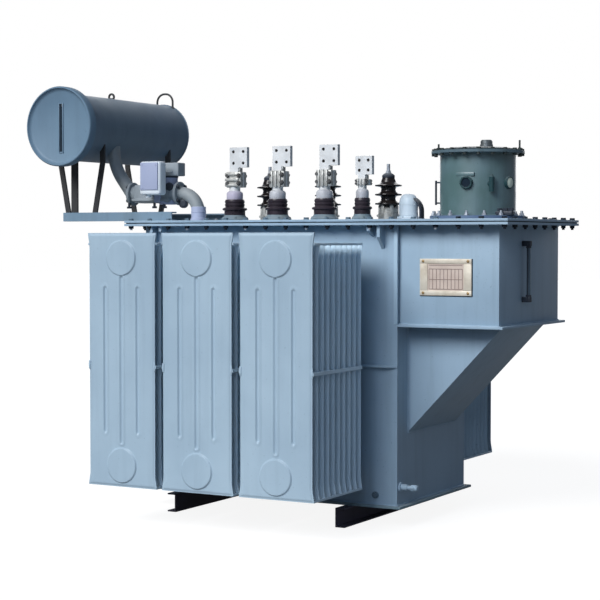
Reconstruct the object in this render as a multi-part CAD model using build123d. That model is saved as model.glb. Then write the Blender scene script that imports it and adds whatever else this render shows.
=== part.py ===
from build123d import *
import math
import os

# A power transformer with an on-load tap changer, in millimetres.
# The origin is on the ground under the middle of the tank.
# +X runs along the front towards the tap changer box, -Y is the front, +Z is up.

# A tool that cuts a hole is this many times as long as the wall is thick
cutter_ratio = 3

# Skids: two channels along Y, open to the outside
bolt_gauge = 820
bolt_hole_diameter = 22
bolt_from_web = 20
bolt_end_margin = 35
channel_height = 80
channel_flange = 43
channel_wall = 6

# Tank
tank_length = 1240
tank_width = 680
tank_height = 1158
tank_corner_radius = 12
base_plate_thickness = 10
base_plate_overhang = 25

# Rim and cover, which run over the tank and the tap changer box
rim_overhang = 65
rim_thickness = 10
gasket_thickness = 4
gasket_inset = 6
cover_thickness = 10

# Tap changer box on the right-hand end wall, and the hopper under it
box_length = 440
box_width = 660
box_height = 414
ledge_thickness = 10
ledge_overhang = 24
hopper_length = 416
hopper_width = 480
hopper_height = 440

# Bar along the front and rear walls
stiffener_height = 10
stiffener_reach = 26
stiffener_above_ground = 656

# Lifting lugs under the rim
lug_thickness = 14
lug_reach = 46
lug_heights = (98, 46)
lug_spacing = 46
lug_from_end = 65

# Radiators: pressed panels on two header pipes
bank_pitch = 362
banks_per_side = 3
panel_count = 10
panel_pitch = 45
panel_width = 320
panel_height = 1037
panel_thickness = 9
panel_bottom = 169
panel_flare = 8
panel_flare_height = 52
panel_flare_run = 24
panel_corner = 10
inner_panel_drop = 41
header_radius = 36
header_from_end = 100
header_tail = 14
radiator_reach = 552
dome_radius = 72
dome_top_radius = 62
dome_rise = 6
flute_count = 4
flute_pitch = 62
flute_width = 34
flute_crest_width = 18
flute_rise = 5
flute_from_header = 105
tie_bar_height = 16
tie_bar_thickness = 5
tie_bar_above_ground = 656
valve_flange_radius = 62
valve_flange_thickness = 34
valve_from_wall = 60

# Conservator
conservator_from_tank = 398
conservator_length = 790
conservator_radius = 151
conservator_above_cover = 424
conservator_wall = 5
front_end_radius = 179
front_end_thickness = 46
front_end_rounding = 16
rear_end_thickness = 16
rear_end_rounding = 12
gauge_slot_width = 15
gauge_slot_length = 214
gauge_slot_depth = 6
gauge_slot_offset = 7
gauge_slot_drop = 7
beam_height = 40
beam_flange = 40
beam_wall = 6
beam_y = 246
beam_outer_reach = 91
beam_inner_reach = 504
leg_width = 26
leg_thickness = 8
leg_foot_spread = 75
leg_knee_spread = 118
leg_knee_above_beam = 228
leg_end_below_axis = 40
strut_offset = -39
strut_width = 36
lifting_ring_radius = 14
lifting_bar_radius = 5
lifting_ring_y = -31
lifting_ring_start = -60
lifting_ring_arc = 300
bar_sides = 10
bail_x_offset = 20
bail_from_rear_end = 6
bail_width = 90
bail_height = 54
bail_bend_radius = 41

# Oil pipe and gas relay between the conservator and the cover
pipe_radius = 29
pipe_y = -158
pipe_offset = 100
pipe_above_cover = 124
pipe_bend_radius = 140
pipe_slope_start = 160
relay_offset = 337
relay_neck_radius = 36
relay_body_length = 190
relay_body_width = 88
relay_body_top = 40
relay_body_bottom = 42
relay_body_rounding = 10
relay_length = 266
relay_flange_radius = 53
relay_flange_thickness = 14
relay_dome_offset = 65
relay_dome_radius = 44
relay_dome_height = 78
relay_cap_offset = 98
relay_cap_length = 80
relay_cap_width = 60
relay_cap_height = 60
drop_offset = 564
drop_bend_radius = 90
drop_flange_radius = 36
drop_flange_thickness = 14
drop_collar_radius = 33
drop_collar_height = 64
terminal_box_offset = 54
terminal_box_width = 111
terminal_box_depth = 56
terminal_box_height = 150
terminal_box_below_pipe = 9
terminal_box_from_pipe = 78
relay_lug_width = 40
relay_lug_height = 30

# Low-voltage bushings along the front
lv_y = -180
lv_places = (-251, -34, 197)
neutral_x = 378
lv_pad = 88
neutral_pad = 78
pad_thickness = 20
lv_pad_offset = 30
neutral_pad_offset = 16
tongue_width = 44
pad_hole_spacing = 50
neutral_hole_spacing = 42
pad_hole_diameter = 14
lv_height = 320
neutral_height = 268
neutral_scale = 0.76
lv_stem_radius = 24
clamp_half_width = 36
clamp_offset = 8
clamp_depth = 47
clamp_bottom = 146
clamp_below_pad = 20
pad_tongue = 40
# (radius, height) above the cover: foot, dark flange, ribbed body and pale cap
lv_foot = ((60, 0), (60, 8), (48, 22))
lv_flange = ((46, 44), (54, 46), (54, 55), (42, 58))
lv_body = ((42, 92), (36, 96), (36, 120), (26, 130))

# High-voltage bushings along the rear
hv_y = 130
hv_places = (-252, 48, 348)
shed_radius = 60
shed_pitch = 40
shed_count = 3
shed_edge = 5
shed_underside = 6
shed_top = 24
first_shed = 66
porcelain_radius = 33
hv_base_radius = 42
hv_base_height = 58
hv_shoulder = 6
hv_height = 186
hv_neck_radius = 30
stud_radius = 8
stud_length = 40
# (radius, height) of the cap above the porcelain
hv_cap = ((28, 0), (28, 12), (20, 20), (12, 22))

# Pressure relief valve
relief_from_end = 136
relief_y = 50
# (radius, height) above the cover
relief_body = ((50, 0), (50, 10), (41, 12), (41, 76), (35, 100), (20, 113))
relief_bracket_radius = 68
relief_bracket_thickness = 12
relief_bracket_width = 36
relief_bracket_centre = 38

# Tap changer head
head_from_tank = 207
head_radius = 158
head_height = 286
head_base_radius = 200
head_base_thickness = 16
head_flange_radius = 194
head_flange_thickness = 13
lid_radius = 178
lid_edge = 5
lid_shoulder_radius = 130
lid_shoulder = 12
lid_rise = 18
lid_cap_radius = 27
lid_cap_height = 28
lid_cap_offset = 38
window_radius = 27
window_reach = 12
window_angle = 6
window_height = 150
side_glass_radius = 26
side_glass_angle = 75
side_glass_height = 151

# Fittings
nameplate_width = 226
nameplate_height = 148
nameplate_thickness = 3
nameplate_from_tank = 211
nameplate_below_middle = 13
level_gauge_radius = 11
level_gauge_length = 250
level_gauge_y = -82
level_gauge_above_middle = 8
level_gauge_stand = 26
drain_radius = 14
drain_length = 84
drain_y = -310
drain_z = 165
earth_boss_radius = 14
earth_boss_length = 22
earth_from_end = 97
earth_z = 130

# Places that follow from the sizes above
channel_length = bolt_gauge + 2 * bolt_end_margin
base_plate_bottom = channel_height
tank_bottom = base_plate_bottom + base_plate_thickness
tank_top = tank_bottom + tank_height
rim_bottom = tank_top - rim_thickness
gasket_top = tank_top + gasket_thickness
cover_top = gasket_top + cover_thickness
tank_end = tank_length / 2
tank_side = tank_width / 2
box_end = tank_end + box_length
box_bottom = tank_top - box_height
ledge_bottom = box_bottom - ledge_thickness
box_middle = (box_bottom + tank_top) / 2
nameplate_z = box_middle - nameplate_below_middle
level_gauge_z = box_middle + level_gauge_above_middle
rim_left = -tank_end - rim_overhang
rim_right = box_end + rim_overhang
rim_side = tank_side + rim_overhang
conservator_x = -tank_end - conservator_from_tank
conservator_z = cover_top + conservator_above_cover
beam_outer_x = conservator_x - beam_outer_reach
beam_inner_x = conservator_x + beam_inner_reach
pipe_x = conservator_x + pipe_offset
relay_x = conservator_x + relay_offset
drop_x = conservator_x + drop_offset
relief_x = tank_end - relief_from_end
head_x = tank_end + head_from_tank
nameplate_x = tank_end + nameplate_from_tank
earth_x = tank_end - earth_from_end
pipe_z = cover_top + pipe_above_cover
beam_top = cover_top + beam_height


def block(x0, x1, y0, y1, z0, z1):
    size = Box(x1 - x0, y1 - y0, z1 - z0, align=(Align.MIN, Align.MIN, Align.MIN))
    return Pos(x0, y0, z0) * size


def prism_y(outline, y0, y1):
    """An outline of (x, z) points run from y0 to y1."""
    face = Plane.XZ * Polygon(*outline, align=None)
    return Pos(0, y0, 0) * extrude(face, y1 - y0, dir=(0, 1, 0))


def prism_x(outline, x0, x1):
    """An outline of (y, z) points run from x0 to x1."""
    face = Plane.YZ * Polygon(*outline, align=None)
    return Pos(x0, 0, 0) * extrude(face, x1 - x0, dir=(1, 0, 0))


def turned(outline):
    """A solid turned about Z from an outline of (radius, height) points."""
    face = Plane.XZ * Polygon(*outline, align=None)
    return revolve(face, Axis.Z)


def channel(width, height, wall):
    """A channel section with its web on the left, as (across, up) points."""
    return (
        (0, 0), (width, 0), (width, wall), (wall, wall),
        (wall, height - wall), (width, height - wall), (width, height), (0, height),
    )


def save(name, shape):
    export_step(Compound(label=name, children=list(shape.solids())), f"parts/{name}.step")


def base_channel():
    web_x = bolt_gauge / 2 - bolt_from_web
    outline = [(web_x + x, z) for x, z in channel(channel_flange, channel_height, channel_wall)]
    skid = prism_y(outline, -channel_length / 2, channel_length / 2)
    for side in (-1, 1):
        hole = Cylinder(bolt_hole_diameter / 2, channel_wall * cutter_ratio)
        skid -= Pos(bolt_gauge / 2, side * bolt_gauge / 2, 0) * hole
    return skid


def base_plate():
    end = tank_end + base_plate_overhang
    side = tank_side + base_plate_overhang
    return block(-end, end, -side, side, base_plate_bottom, tank_bottom)


def tank_body():
    tank = block(-tank_end, tank_end, -tank_side, tank_side, tank_bottom, tank_top)
    left = [edge for edge in tank.edges().filter_by(Axis.Z) if edge.center().X < 0]
    return fillet(left, tank_corner_radius)


def rim_plate(inset, z0, z1):
    """A plate of the cover's outline, drawn in by an inset."""
    return block(rim_left + inset, rim_right - inset, inset - rim_side, rim_side - inset, z0, z1)


def rim_flange():
    ring = rim_plate(0, rim_bottom, tank_top)
    ring -= tank_body()
    return ring - tap_changer_box()


def rim_gasket():
    ring = rim_plate(gasket_inset, tank_top, gasket_top)
    inner = rim_overhang / 2
    opening = rim_plate(rim_overhang - inner + gasket_inset, tank_top, gasket_top)
    return ring - opening


def tap_changer_box():
    return block(tank_end, box_end, -box_width / 2, box_width / 2, box_bottom, tank_top)


def tap_box_ledge():
    side = box_width / 2 + ledge_overhang
    return block(tank_end, box_end + ledge_overhang, -side, side, ledge_bottom, box_bottom)


def tap_box_hopper():
    outline = (
        (tank_end, ledge_bottom - hopper_height),
        (tank_end + hopper_length, ledge_bottom),
        (tank_end, ledge_bottom),
    )
    return prism_y(outline, -hopper_width / 2, hopper_width / 2)


def wall_stiffeners():
    bottom = stiffener_above_ground
    front = block(-tank_end + tank_corner_radius, tank_end, -tank_side - stiffener_reach, -tank_side,
                  bottom, bottom + stiffener_height)
    return front + mirror(front, Plane.XZ)


def lifting_lugs():
    """Pairs of plates on the side walls, welded under the rim at each end of the tank."""
    plates = []
    for end in (-1, 1):
        for place, height in enumerate(lug_heights):
            x = end * (tank_end - lug_from_end - place * lug_spacing)
            outline = (
                (-tank_side, rim_bottom), (-tank_side - lug_reach, rim_bottom),
                (-tank_side - lug_reach, rim_bottom - height / 2), (-tank_side, rim_bottom - height),
            )
            plate = prism_x(outline, x - lug_thickness / 2, x + lug_thickness / 2)
            plates += [plate, mirror(plate, Plane.XZ)]
    return Compound(children=plates)


def panel_outline(height):
    """A radiator panel from the front: straight sides that widen near the top and the bottom."""
    half = panel_width / 2
    wide = half + panel_flare
    bottom = panel_bottom
    top = panel_bottom + height
    right = [
        (wide - panel_corner, bottom), (wide, bottom + panel_corner),
        (wide, bottom + panel_flare_height), (half, bottom + panel_flare_height + panel_flare_run),
        (half, top - panel_flare_height - panel_flare_run), (wide, top - panel_flare_height),
        (wide, top - panel_corner), (wide - panel_corner, top),
    ]
    return right + [(-x, z) for x, z in reversed(right)]


def header_heights():
    return (panel_bottom + header_from_end, panel_bottom + panel_height - header_from_end)


def radiator():
    """One front bank, centred on X = 0."""
    outer = -tank_side - radiator_reach + dome_rise
    bank = None
    for index in range(panel_count):
        y = outer + index * panel_pitch
        height = panel_height - inner_panel_drop if index else panel_height
        panel = prism_y(panel_outline(height), y, y + panel_thickness)
        bank = panel if bank is None else bank + panel
    last = outer + (panel_count - 1) * panel_pitch + panel_thickness
    for z in header_heights():
        length = last + header_tail - outer - panel_thickness
        pipe = Pos(0, outer + panel_thickness + length / 2, z) * Rot(90, 0, 0) * Cylinder(header_radius, length)
        bank += pipe
        dome = Cone(dome_radius, dome_top_radius, dome_rise, align=(Align.CENTER, Align.CENTER, Align.MIN))
        bank += Pos(0, outer, z) * Rot(90, 0, 0) * dome
    low, high = header_heights()
    for index in range(flute_count):
        x = (index - (flute_count - 1) / 2) * flute_pitch
        outline = (
            (x - flute_width / 2, outer), (x - flute_crest_width / 2, outer - flute_rise),
            (x + flute_crest_width / 2, outer - flute_rise), (x + flute_width / 2, outer),
        )
        length = high - low - 2 * flute_from_header
        flute = extrude(Polygon(*outline, align=None), length, dir=(0, 0, 1))
        bank += Pos(0, 0, low + flute_from_header) * flute
    bar = block(panel_width / 2, panel_width / 2 + tie_bar_thickness, outer, last,
                tie_bar_above_ground, tie_bar_above_ground + tie_bar_height)
    return bank + bar + mirror(bar, Plane.YZ)


def valve():
    """Stub pipe and butterfly valve between the front wall and a header, along -Y."""
    last = radiator_reach - dome_rise - (panel_count - 1) * panel_pitch - panel_thickness
    length = last - header_tail
    flange_end = valve_from_wall + valve_flange_thickness
    shape = turned((
        (0, 0), (header_radius, 0), (header_radius, valve_from_wall),
        (valve_flange_radius, valve_from_wall), (valve_flange_radius, flange_end),
        (header_radius, flange_end), (header_radius, length), (0, length),
    ))
    return Pos(0, -tank_side, 0) * Rot(90, 0, 0) * shape


def bank_places():
    return [(index - (banks_per_side - 1) / 2) * bank_pitch for index in range(banks_per_side)]


def conservator_shell():
    tube = Cylinder(conservator_radius, conservator_length) \
        - Cylinder(conservator_radius - conservator_wall, conservator_length)
    return Pos(conservator_x, 0, conservator_z) * Rot(90, 0, 0) * tube


def conservator_front_end():
    front = -conservator_length / 2 - front_end_thickness
    disc = turned((
        (0, 0), (front_end_radius - front_end_rounding, 0),
        (front_end_radius - front_end_rounding / 4, front_end_rounding / 2),
        (front_end_radius, front_end_rounding), (front_end_radius, front_end_thickness),
        (0, front_end_thickness),
    ))
    disc = Pos(conservator_x, front, conservator_z) * Rot(-90, 0, 0) * disc
    slot = block(-gauge_slot_width / 2, gauge_slot_width / 2,
                 -gauge_slot_depth, gauge_slot_depth, -gauge_slot_length / 2, gauge_slot_length / 2)
    return disc - Pos(conservator_x + gauge_slot_offset, front, conservator_z - gauge_slot_drop) * slot


def conservator_rear_end():
    disc = turned((
        (0, 0), (conservator_radius, 0), (conservator_radius, rear_end_thickness - rear_end_rounding),
        (conservator_radius - rear_end_rounding / 4, rear_end_thickness - rear_end_rounding / 2),
        (conservator_radius - rear_end_rounding, rear_end_thickness), (0, rear_end_thickness),
    ))
    return Pos(conservator_x, conservator_length / 2, conservator_z) * Rot(-90, 0, 0) * disc


def conservator_beams():
    """Two channels on the cover that reach out under the conservator."""
    web_y = beam_y + beam_flange
    outline = [(x - web_y, cover_top + z) for x, z in channel(beam_flange, beam_height, beam_wall)]
    front = prism_x(outline, beam_outer_x, beam_inner_x)
    return front + mirror(front, Plane.XZ)


def conservator_drum():
    return Pos(conservator_x, 0, conservator_z) * Rot(90, 0, 0) \
        * Cylinder(conservator_radius, conservator_length)


def conservator_legs():
    """Splayed flat bars from each beam to the sides of the shell, and the upright at the front."""
    knee_z = beam_top + leg_knee_above_beam
    end_z = conservator_z - leg_end_below_axis
    half = leg_width / 2
    y = beam_y + beam_flange / 2
    outlines = []
    for lean in (-1, 1):
        foot = conservator_x + lean * leg_foot_spread
        knee = conservator_x + lean * leg_knee_spread
        outlines.append((
            (foot - half, beam_top), (foot + half, beam_top), (knee + half, knee_z),
            (knee + half, end_z), (knee - half, end_z), (knee - half, knee_z),
        ))
    legs = [prism_y(outline, side * y - leg_thickness / 2, side * y + leg_thickness / 2)
            for side in (-1, 1) for outline in outlines]
    strut = conservator_x + strut_offset
    legs.append(block(strut - strut_width / 2, strut + strut_width / 2,
                      -y - leg_thickness / 2, -y + leg_thickness / 2, beam_top, conservator_z))
    return Compound(children=[lowest(leg - conservator_drum()) for leg in legs])


def lowest(shape):
    return min(shape.solids(), key=lambda solid: solid.center().Z)


def highest(shape):
    return max(shape.solids(), key=lambda solid: solid.center().Z)


def bar_along(path):
    section = RegularPolygon(lifting_bar_radius, bar_sides)
    return sweep(Plane(path @ 0, z_dir=path % 0) * section, path)


def conservator_lifting_eyes():
    """A ring and a bail of round bar on top of the shell."""
    top = conservator_z + conservator_radius
    ring = bar_along(Plane.XZ * CenterArc((0, 0), lifting_ring_radius, lifting_ring_start, lifting_ring_arc))
    ring = Pos(conservator_x, lifting_ring_y, top + lifting_ring_radius - lifting_bar_radius) * ring
    half = bail_width / 2
    middle = conservator_x + bail_x_offset
    y = conservator_length / 2 - bail_from_rear_end
    path = FilletPolyline(
        (middle - half, y, top - bail_height),
        (middle - half, y, top + bail_height),
        (middle + half, y, top + bail_height),
        (middle + half, y, top - bail_height),
        radius=bail_bend_radius,
    )
    bail = bar_along(path)
    return Compound(children=[ring - conservator_drum(), highest(bail - conservator_drum())])


def oil_pipe_upper():
    """From the underside of the conservator, bent towards the gas relay and cut to its flange."""
    end = relay_x - relay_length / 2
    run = end - pipe_x
    path = FilletPolyline(
        (pipe_x, pipe_y, conservator_z), (pipe_x, pipe_y, pipe_z + pipe_slope_start),
        (end + run, pipe_y, pipe_z - pipe_slope_start),
        radius=pipe_bend_radius,
    )
    pipe = sweep(Plane(path @ 0, z_dir=path % 0) * Circle(pipe_radius), path)
    beyond = block(end, relay_x, pipe_y - run, pipe_y + run, 0, conservator_z)
    return lowest(pipe - conservator_drum() - beyond)


def gas_relay():
    """Flanged cast body on the pipe, its upright housing and cap, and the lug for the terminal box."""
    half = relay_length / 2
    body = turned((
        (0, -half), (relay_flange_radius, -half), (relay_flange_radius, relay_flange_thickness - half),
        (relay_neck_radius, relay_flange_thickness - half),
        (relay_neck_radius, half - relay_flange_thickness),
        (relay_flange_radius, half - relay_flange_thickness), (relay_flange_radius, half), (0, half),
    ))
    body = Pos(relay_x, pipe_y, pipe_z) * Rot(0, 90, 0) * body
    casting = block(-relay_body_length / 2, relay_body_length / 2, -relay_body_width / 2,
                    relay_body_width / 2, -relay_body_bottom, relay_body_top)
    casting = fillet(casting.edges().filter_by(Axis.Z), relay_body_rounding)
    body += Pos(relay_x, pipe_y, pipe_z) * casting
    dome_x = relay_x + relay_dome_offset
    below = relay_flange_radius
    dome = Cylinder(relay_dome_radius, relay_dome_height + below)
    body += Pos(dome_x, pipe_y, pipe_z + (relay_dome_height - below) / 2) * dome
    cap_x = relay_x + relay_cap_offset
    cap_z = pipe_z + relay_dome_height
    body += block(cap_x - relay_cap_length / 2, cap_x + relay_cap_length / 2,
                  pipe_y - relay_cap_width / 2, pipe_y + relay_cap_width / 2,
                  cap_z, cap_z + relay_cap_height)
    lug_x = relay_x + terminal_box_offset - terminal_box_width / 2
    body += block(lug_x, lug_x + relay_lug_width, pipe_y - terminal_box_from_pipe, pipe_y,
                  pipe_z, pipe_z + relay_lug_height)
    return body


def oil_pipe_lower():
    start = relay_x + relay_length / 2
    foot = cover_top + drop_flange_thickness
    path = FilletPolyline(
        (start, pipe_y, pipe_z), (drop_x, pipe_y, pipe_z), (drop_x, pipe_y, foot),
        radius=drop_bend_radius,
    )
    pipe = sweep(Plane(path @ 0, z_dir=path % 0) * Circle(pipe_radius), path)
    collar = turned((
        (0, 0), (drop_flange_radius, 0), (drop_flange_radius, drop_flange_thickness),
        (drop_collar_radius, drop_flange_thickness), (drop_collar_radius, drop_collar_height),
        (0, drop_collar_height),
    ))
    return pipe + Pos(drop_x, pipe_y, cover_top) * collar


def relay_terminal_box():
    back = pipe_y - terminal_box_from_pipe
    centre = relay_x + terminal_box_offset
    half = terminal_box_width / 2
    bottom = pipe_z - terminal_box_below_pipe
    return block(centre - half, centre + half, back - terminal_box_depth, back,
                 bottom, bottom + terminal_box_height)


def lv_bushing(scale):
    """Flared base and ribbed insulator under the terminal, from the cover up."""
    outline = [(radius * scale, height) for radius, height in lv_foot + lv_flange + lv_body]
    return turned([(0, 0)] + outline + [(0, outline[-1][1])])


def lv_terminal(scale, pad, offset, spacing, height):
    """Round stem, clamp body and the four-hole pad that stands up from it."""
    pad_bottom = height - pad
    stem_bottom = lv_body[-1][1]
    half = pad / 2
    length = pad_bottom - clamp_below_pad - stem_bottom
    shape = Pos(0, 0, stem_bottom + length / 2) * Cylinder(lv_stem_radius * scale, length)
    clamp = Pos(clamp_offset * scale, 0, 0) * block(
        -clamp_half_width * scale, clamp_half_width * scale, -clamp_depth / 2 * scale,
        clamp_depth / 2 * scale, clamp_bottom, pad_bottom - clamp_below_pad)
    tongue = Pos(clamp_offset * scale, 0, 0) * block(
        -tongue_width / 2 * scale, tongue_width / 2 * scale, -pad_thickness, 0,
        pad_bottom - pad_tongue, pad_bottom)
    plate = block(offset - half, offset + half, -pad_thickness, 0, pad_bottom, height)
    shape += clamp + tongue + plate
    for x in (-1, 1):
        for z in (-1, 1):
            hole = Rot(90, 0, 0) * Cylinder(pad_hole_diameter / 2, pad_thickness * cutter_ratio)
            shape -= Pos(offset + x * spacing / 2, 0, height - half + z * spacing / 2) * hole
    return shape


def hv_bushing():
    """Metal base, porcelain body with three sheds and a cap seat."""
    outline = [(0, 0), (hv_base_radius, 0), (hv_base_radius, hv_base_height),
               (porcelain_radius, hv_base_height + hv_shoulder)]
    for index in range(shed_count):
        z = first_shed + index * shed_pitch
        outline += [(porcelain_radius, z), (shed_radius, z + shed_underside),
                    (shed_radius, z + shed_underside + shed_edge), (porcelain_radius, z + shed_top)]
    return turned(outline + [(hv_neck_radius, hv_height), (0, hv_height)])


def hv_terminal():
    """Cap and threaded stud on a high-voltage bushing."""
    seat = hv_cap[-1][1]
    top = seat + stud_length
    stud = ((stud_radius, seat), (stud_radius, top), (0, top))
    return Pos(0, 0, hv_height) * turned(((0, 0),) + hv_cap + stud)


def pressure_relief_valve():
    """Domed body and the curved arm beside it."""
    shape = turned(((0, 0),) + relief_body + ((0, relief_body[-1][1]),))
    outer = relief_bracket_radius
    inner = outer - relief_bracket_thickness
    centre = relief_bracket_centre
    arm = Circle(outer) - Circle(inner) - Pos(-outer, 0) * Rectangle(2 * outer, 2 * outer)
    arm -= Pos(0, -outer) * Rectangle(2 * outer, 2 * outer)
    arm = extrude(Plane.XZ * arm, relief_bracket_width / 2, both=True)
    shape += Pos(0, 0, centre) * arm
    return shape + block(inner, outer, -relief_bracket_width / 2, relief_bracket_width / 2, 0, centre)


def tap_changer_base():
    return turned(((0, 0), (head_base_radius, 0), (head_base_radius, head_base_thickness),
                   (0, head_base_thickness)))


def head_boss(radius, reach, angle, height):
    """A round boss on the wall of the head, turned by an angle from the front."""
    length = head_radius + reach
    boss = Pos(0, -length / 2, height) * Rot(90, 0, 0) * Cylinder(radius, length)
    return Rot(0, 0, angle) * boss


def tap_changer_head():
    """Round housing with the flange that its lid is bolted to, and its two glasses."""
    low = head_base_thickness
    shape = turned((
        (0, low), (head_radius, low), (head_radius, head_height - head_flange_thickness),
        (head_flange_radius, head_height - head_flange_thickness), (head_flange_radius, head_height),
        (0, head_height),
    ))
    shape += head_boss(window_radius, window_reach, window_angle, window_height)
    return shape + head_boss(side_glass_radius, window_reach, side_glass_angle, side_glass_height)


def tap_changer_lid():
    low = head_height
    top = low + lid_rise
    lid = turned((
        (0, low), (lid_radius, low), (lid_radius, low + lid_edge),
        (lid_shoulder_radius, low + lid_shoulder), (lid_cap_offset, top), (0, top),
    ))
    cap = turned(((0, low), (lid_cap_radius, low), (lid_cap_radius, top + lid_cap_height),
                  (0, top + lid_cap_height)))
    return lid + Pos(lid_cap_offset, 0, 0) * cap


def nameplate():
    front = -box_width / 2
    return block(nameplate_x - nameplate_width / 2, nameplate_x + nameplate_width / 2,
                 front - nameplate_thickness, front,
                 nameplate_z - nameplate_height / 2, nameplate_z + nameplate_height / 2)


def level_gauge():
    """Glass tube between two bosses on the end wall of the box."""
    tube_x = box_end + level_gauge_stand
    shape = Pos(tube_x, level_gauge_y, level_gauge_z) * Cylinder(level_gauge_radius, level_gauge_length)
    for side in (-1, 1):
        z = level_gauge_z + side * (level_gauge_length / 2 - level_gauge_radius)
        boss = Rot(0, 90, 0) * Cylinder(level_gauge_radius, level_gauge_stand)
        shape += Pos(box_end + level_gauge_stand / 2, level_gauge_y, z) * boss
    return shape


def drain_valve():
    pipe = Rot(0, 90, 0) * Cylinder(drain_radius, drain_length)
    return Pos(tank_end + drain_length / 2, drain_y, drain_z) * pipe


def earthing_terminals():
    boss = Rot(90, 0, 0) * Cylinder(earth_boss_radius, earth_boss_length)
    front = Pos(earth_x, -tank_side - earth_boss_length / 2, earth_z) * boss
    rear = Rot(0, 0, 180) * front
    return Compound(children=[front, rear])


def build():
    os.makedirs("parts", exist_ok=True)
    skid = base_channel()
    save("base_channel_right", skid)
    save("base_channel_left", mirror(skid, Plane.YZ))
    save("base_plate", base_plate())
    save("tank_body", tank_body())
    save("tank_rim_flange", rim_flange())
    save("rim_gasket", rim_gasket())
    save("cover_plate", rim_plate(0, gasket_top, cover_top))
    save("tap_changer_box", tap_changer_box())
    save("tap_box_ledge", tap_box_ledge())
    save("tap_box_hopper", tap_box_hopper())
    save("wall_stiffeners", wall_stiffeners())
    save("lifting_lugs", lifting_lugs())
    bank = radiator()
    for name, x in zip(("left", "middle", "right"), bank_places()):
        front = Pos(x, 0, 0) * bank
        save(f"radiator_front_{name}", front)
        save(f"radiator_rear_{name}", mirror(front, Plane.XZ))
    valves = [Pos(x, 0, z) * valve() for x in bank_places() for z in header_heights()]
    front = Compound(children=valves)
    save("radiator_valves_front", front)
    save("radiator_valves_rear", mirror(front, Plane.XZ))
    save("conservator_shell", conservator_shell())
    save("conservator_front_end", conservator_front_end())
    save("conservator_rear_end", conservator_rear_end())
    save("conservator_beams", conservator_beams())
    save("conservator_legs", conservator_legs())
    save("conservator_lifting_eyes", conservator_lifting_eyes())
    save("oil_pipe_upper", oil_pipe_upper())
    save("gas_relay", gas_relay())
    save("oil_pipe_lower", oil_pipe_lower())
    save("relay_terminal_box", relay_terminal_box())
    for index, x in enumerate(lv_places):
        place = Pos(x, lv_y, cover_top)
        save(f"lv_bushing_{index + 1}", place * lv_bushing(1))
        terminal = lv_terminal(1, lv_pad, lv_pad_offset, pad_hole_spacing, lv_height)
        save(f"lv_terminal_{index + 1}", place * terminal)
    place = Pos(neutral_x, lv_y, cover_top)
    save("neutral_bushing", place * lv_bushing(neutral_scale))
    terminal = lv_terminal(neutral_scale, neutral_pad, neutral_pad_offset, neutral_hole_spacing,
                           neutral_height)
    save("neutral_terminal", place * terminal)
    for index, x in enumerate(hv_places):
        place = Pos(x, hv_y, cover_top)
        save(f"hv_bushing_{index + 1}", place * hv_bushing())
        save(f"hv_terminal_{index + 1}", place * hv_terminal())
    save("pressure_relief_valve", Pos(relief_x, relief_y, cover_top) * pressure_relief_valve())
    place = Pos(head_x, 0, cover_top)
    save("tap_changer_base", place * tap_changer_base())
    save("tap_changer_head", place * tap_changer_head())
    save("tap_changer_lid", place * tap_changer_lid())
    save("nameplate", nameplate())
    save("level_gauge", level_gauge())
    save("drain_valve", drain_valve())
    save("earthing_terminals", earthing_terminals())


build()
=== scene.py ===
import math

import bmesh
import bpy
from mathutils import Matrix, Vector


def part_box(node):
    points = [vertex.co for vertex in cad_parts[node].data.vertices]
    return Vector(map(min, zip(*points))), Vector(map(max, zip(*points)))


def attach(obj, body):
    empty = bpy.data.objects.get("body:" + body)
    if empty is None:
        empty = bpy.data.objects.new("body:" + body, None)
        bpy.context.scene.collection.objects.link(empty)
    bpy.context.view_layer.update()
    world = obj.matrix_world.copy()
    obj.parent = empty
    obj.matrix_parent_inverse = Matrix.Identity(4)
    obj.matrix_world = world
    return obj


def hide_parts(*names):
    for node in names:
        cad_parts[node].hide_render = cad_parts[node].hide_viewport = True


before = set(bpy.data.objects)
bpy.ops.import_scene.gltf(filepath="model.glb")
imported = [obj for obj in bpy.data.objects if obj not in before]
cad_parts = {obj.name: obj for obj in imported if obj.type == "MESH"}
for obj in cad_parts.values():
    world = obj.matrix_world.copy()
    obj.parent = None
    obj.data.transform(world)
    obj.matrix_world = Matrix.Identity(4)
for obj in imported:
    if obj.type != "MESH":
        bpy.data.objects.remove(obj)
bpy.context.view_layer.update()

# Shapes are made in millimetres; piece() makes them metres at the end
MM = 0.001
MERGE_DISTANCE = 0.001
SMOOTH_ANGLE = math.radians(32)

UP = (0, 0, 1)
DOWN = (0, 0, -1)
FRONT = (0, -1, 0)
REAR = (0, 1, 0)
RIGHT = (1, 0, 0)
LEFT = (-1, 0, 0)

# Camera, solved from the straight edges of the tank, the cover and the radiators
PHOTO_SIZE = 600
FOCAL_PIXELS = 1666
SENSOR_WIDTH = 36
CAMERA_PLACE = (3.572, -6.449, 1.178)
CAMERA_TURN = 29.14
CAMERA_TILT = -2.07


def corners(node):
    """A node's lowest and highest corners, in millimetres."""
    low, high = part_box(node)
    return Vector(low) / MM, Vector(high) / MM


def centre(node):
    low, high = corners(node)
    return (low + high) / 2


def standing_on(node):
    """The middle of a node's underside."""
    low, high = corners(node)
    return Vector(((low.x + high.x) / 2, (low.y + high.y) / 2, low.z))


# Node trees

def add_node(tree, kind, **settings):
    made = tree.nodes.new(kind)
    for key, value in settings.items():
        setattr(made, key, value)
    return made


def feed(tree, target, value):
    """Links a socket, or sets a plain value, on a target socket."""
    if isinstance(value, bpy.types.NodeSocket):
        tree.links.new(value, target)
    else:
        target.default_value = value


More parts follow.
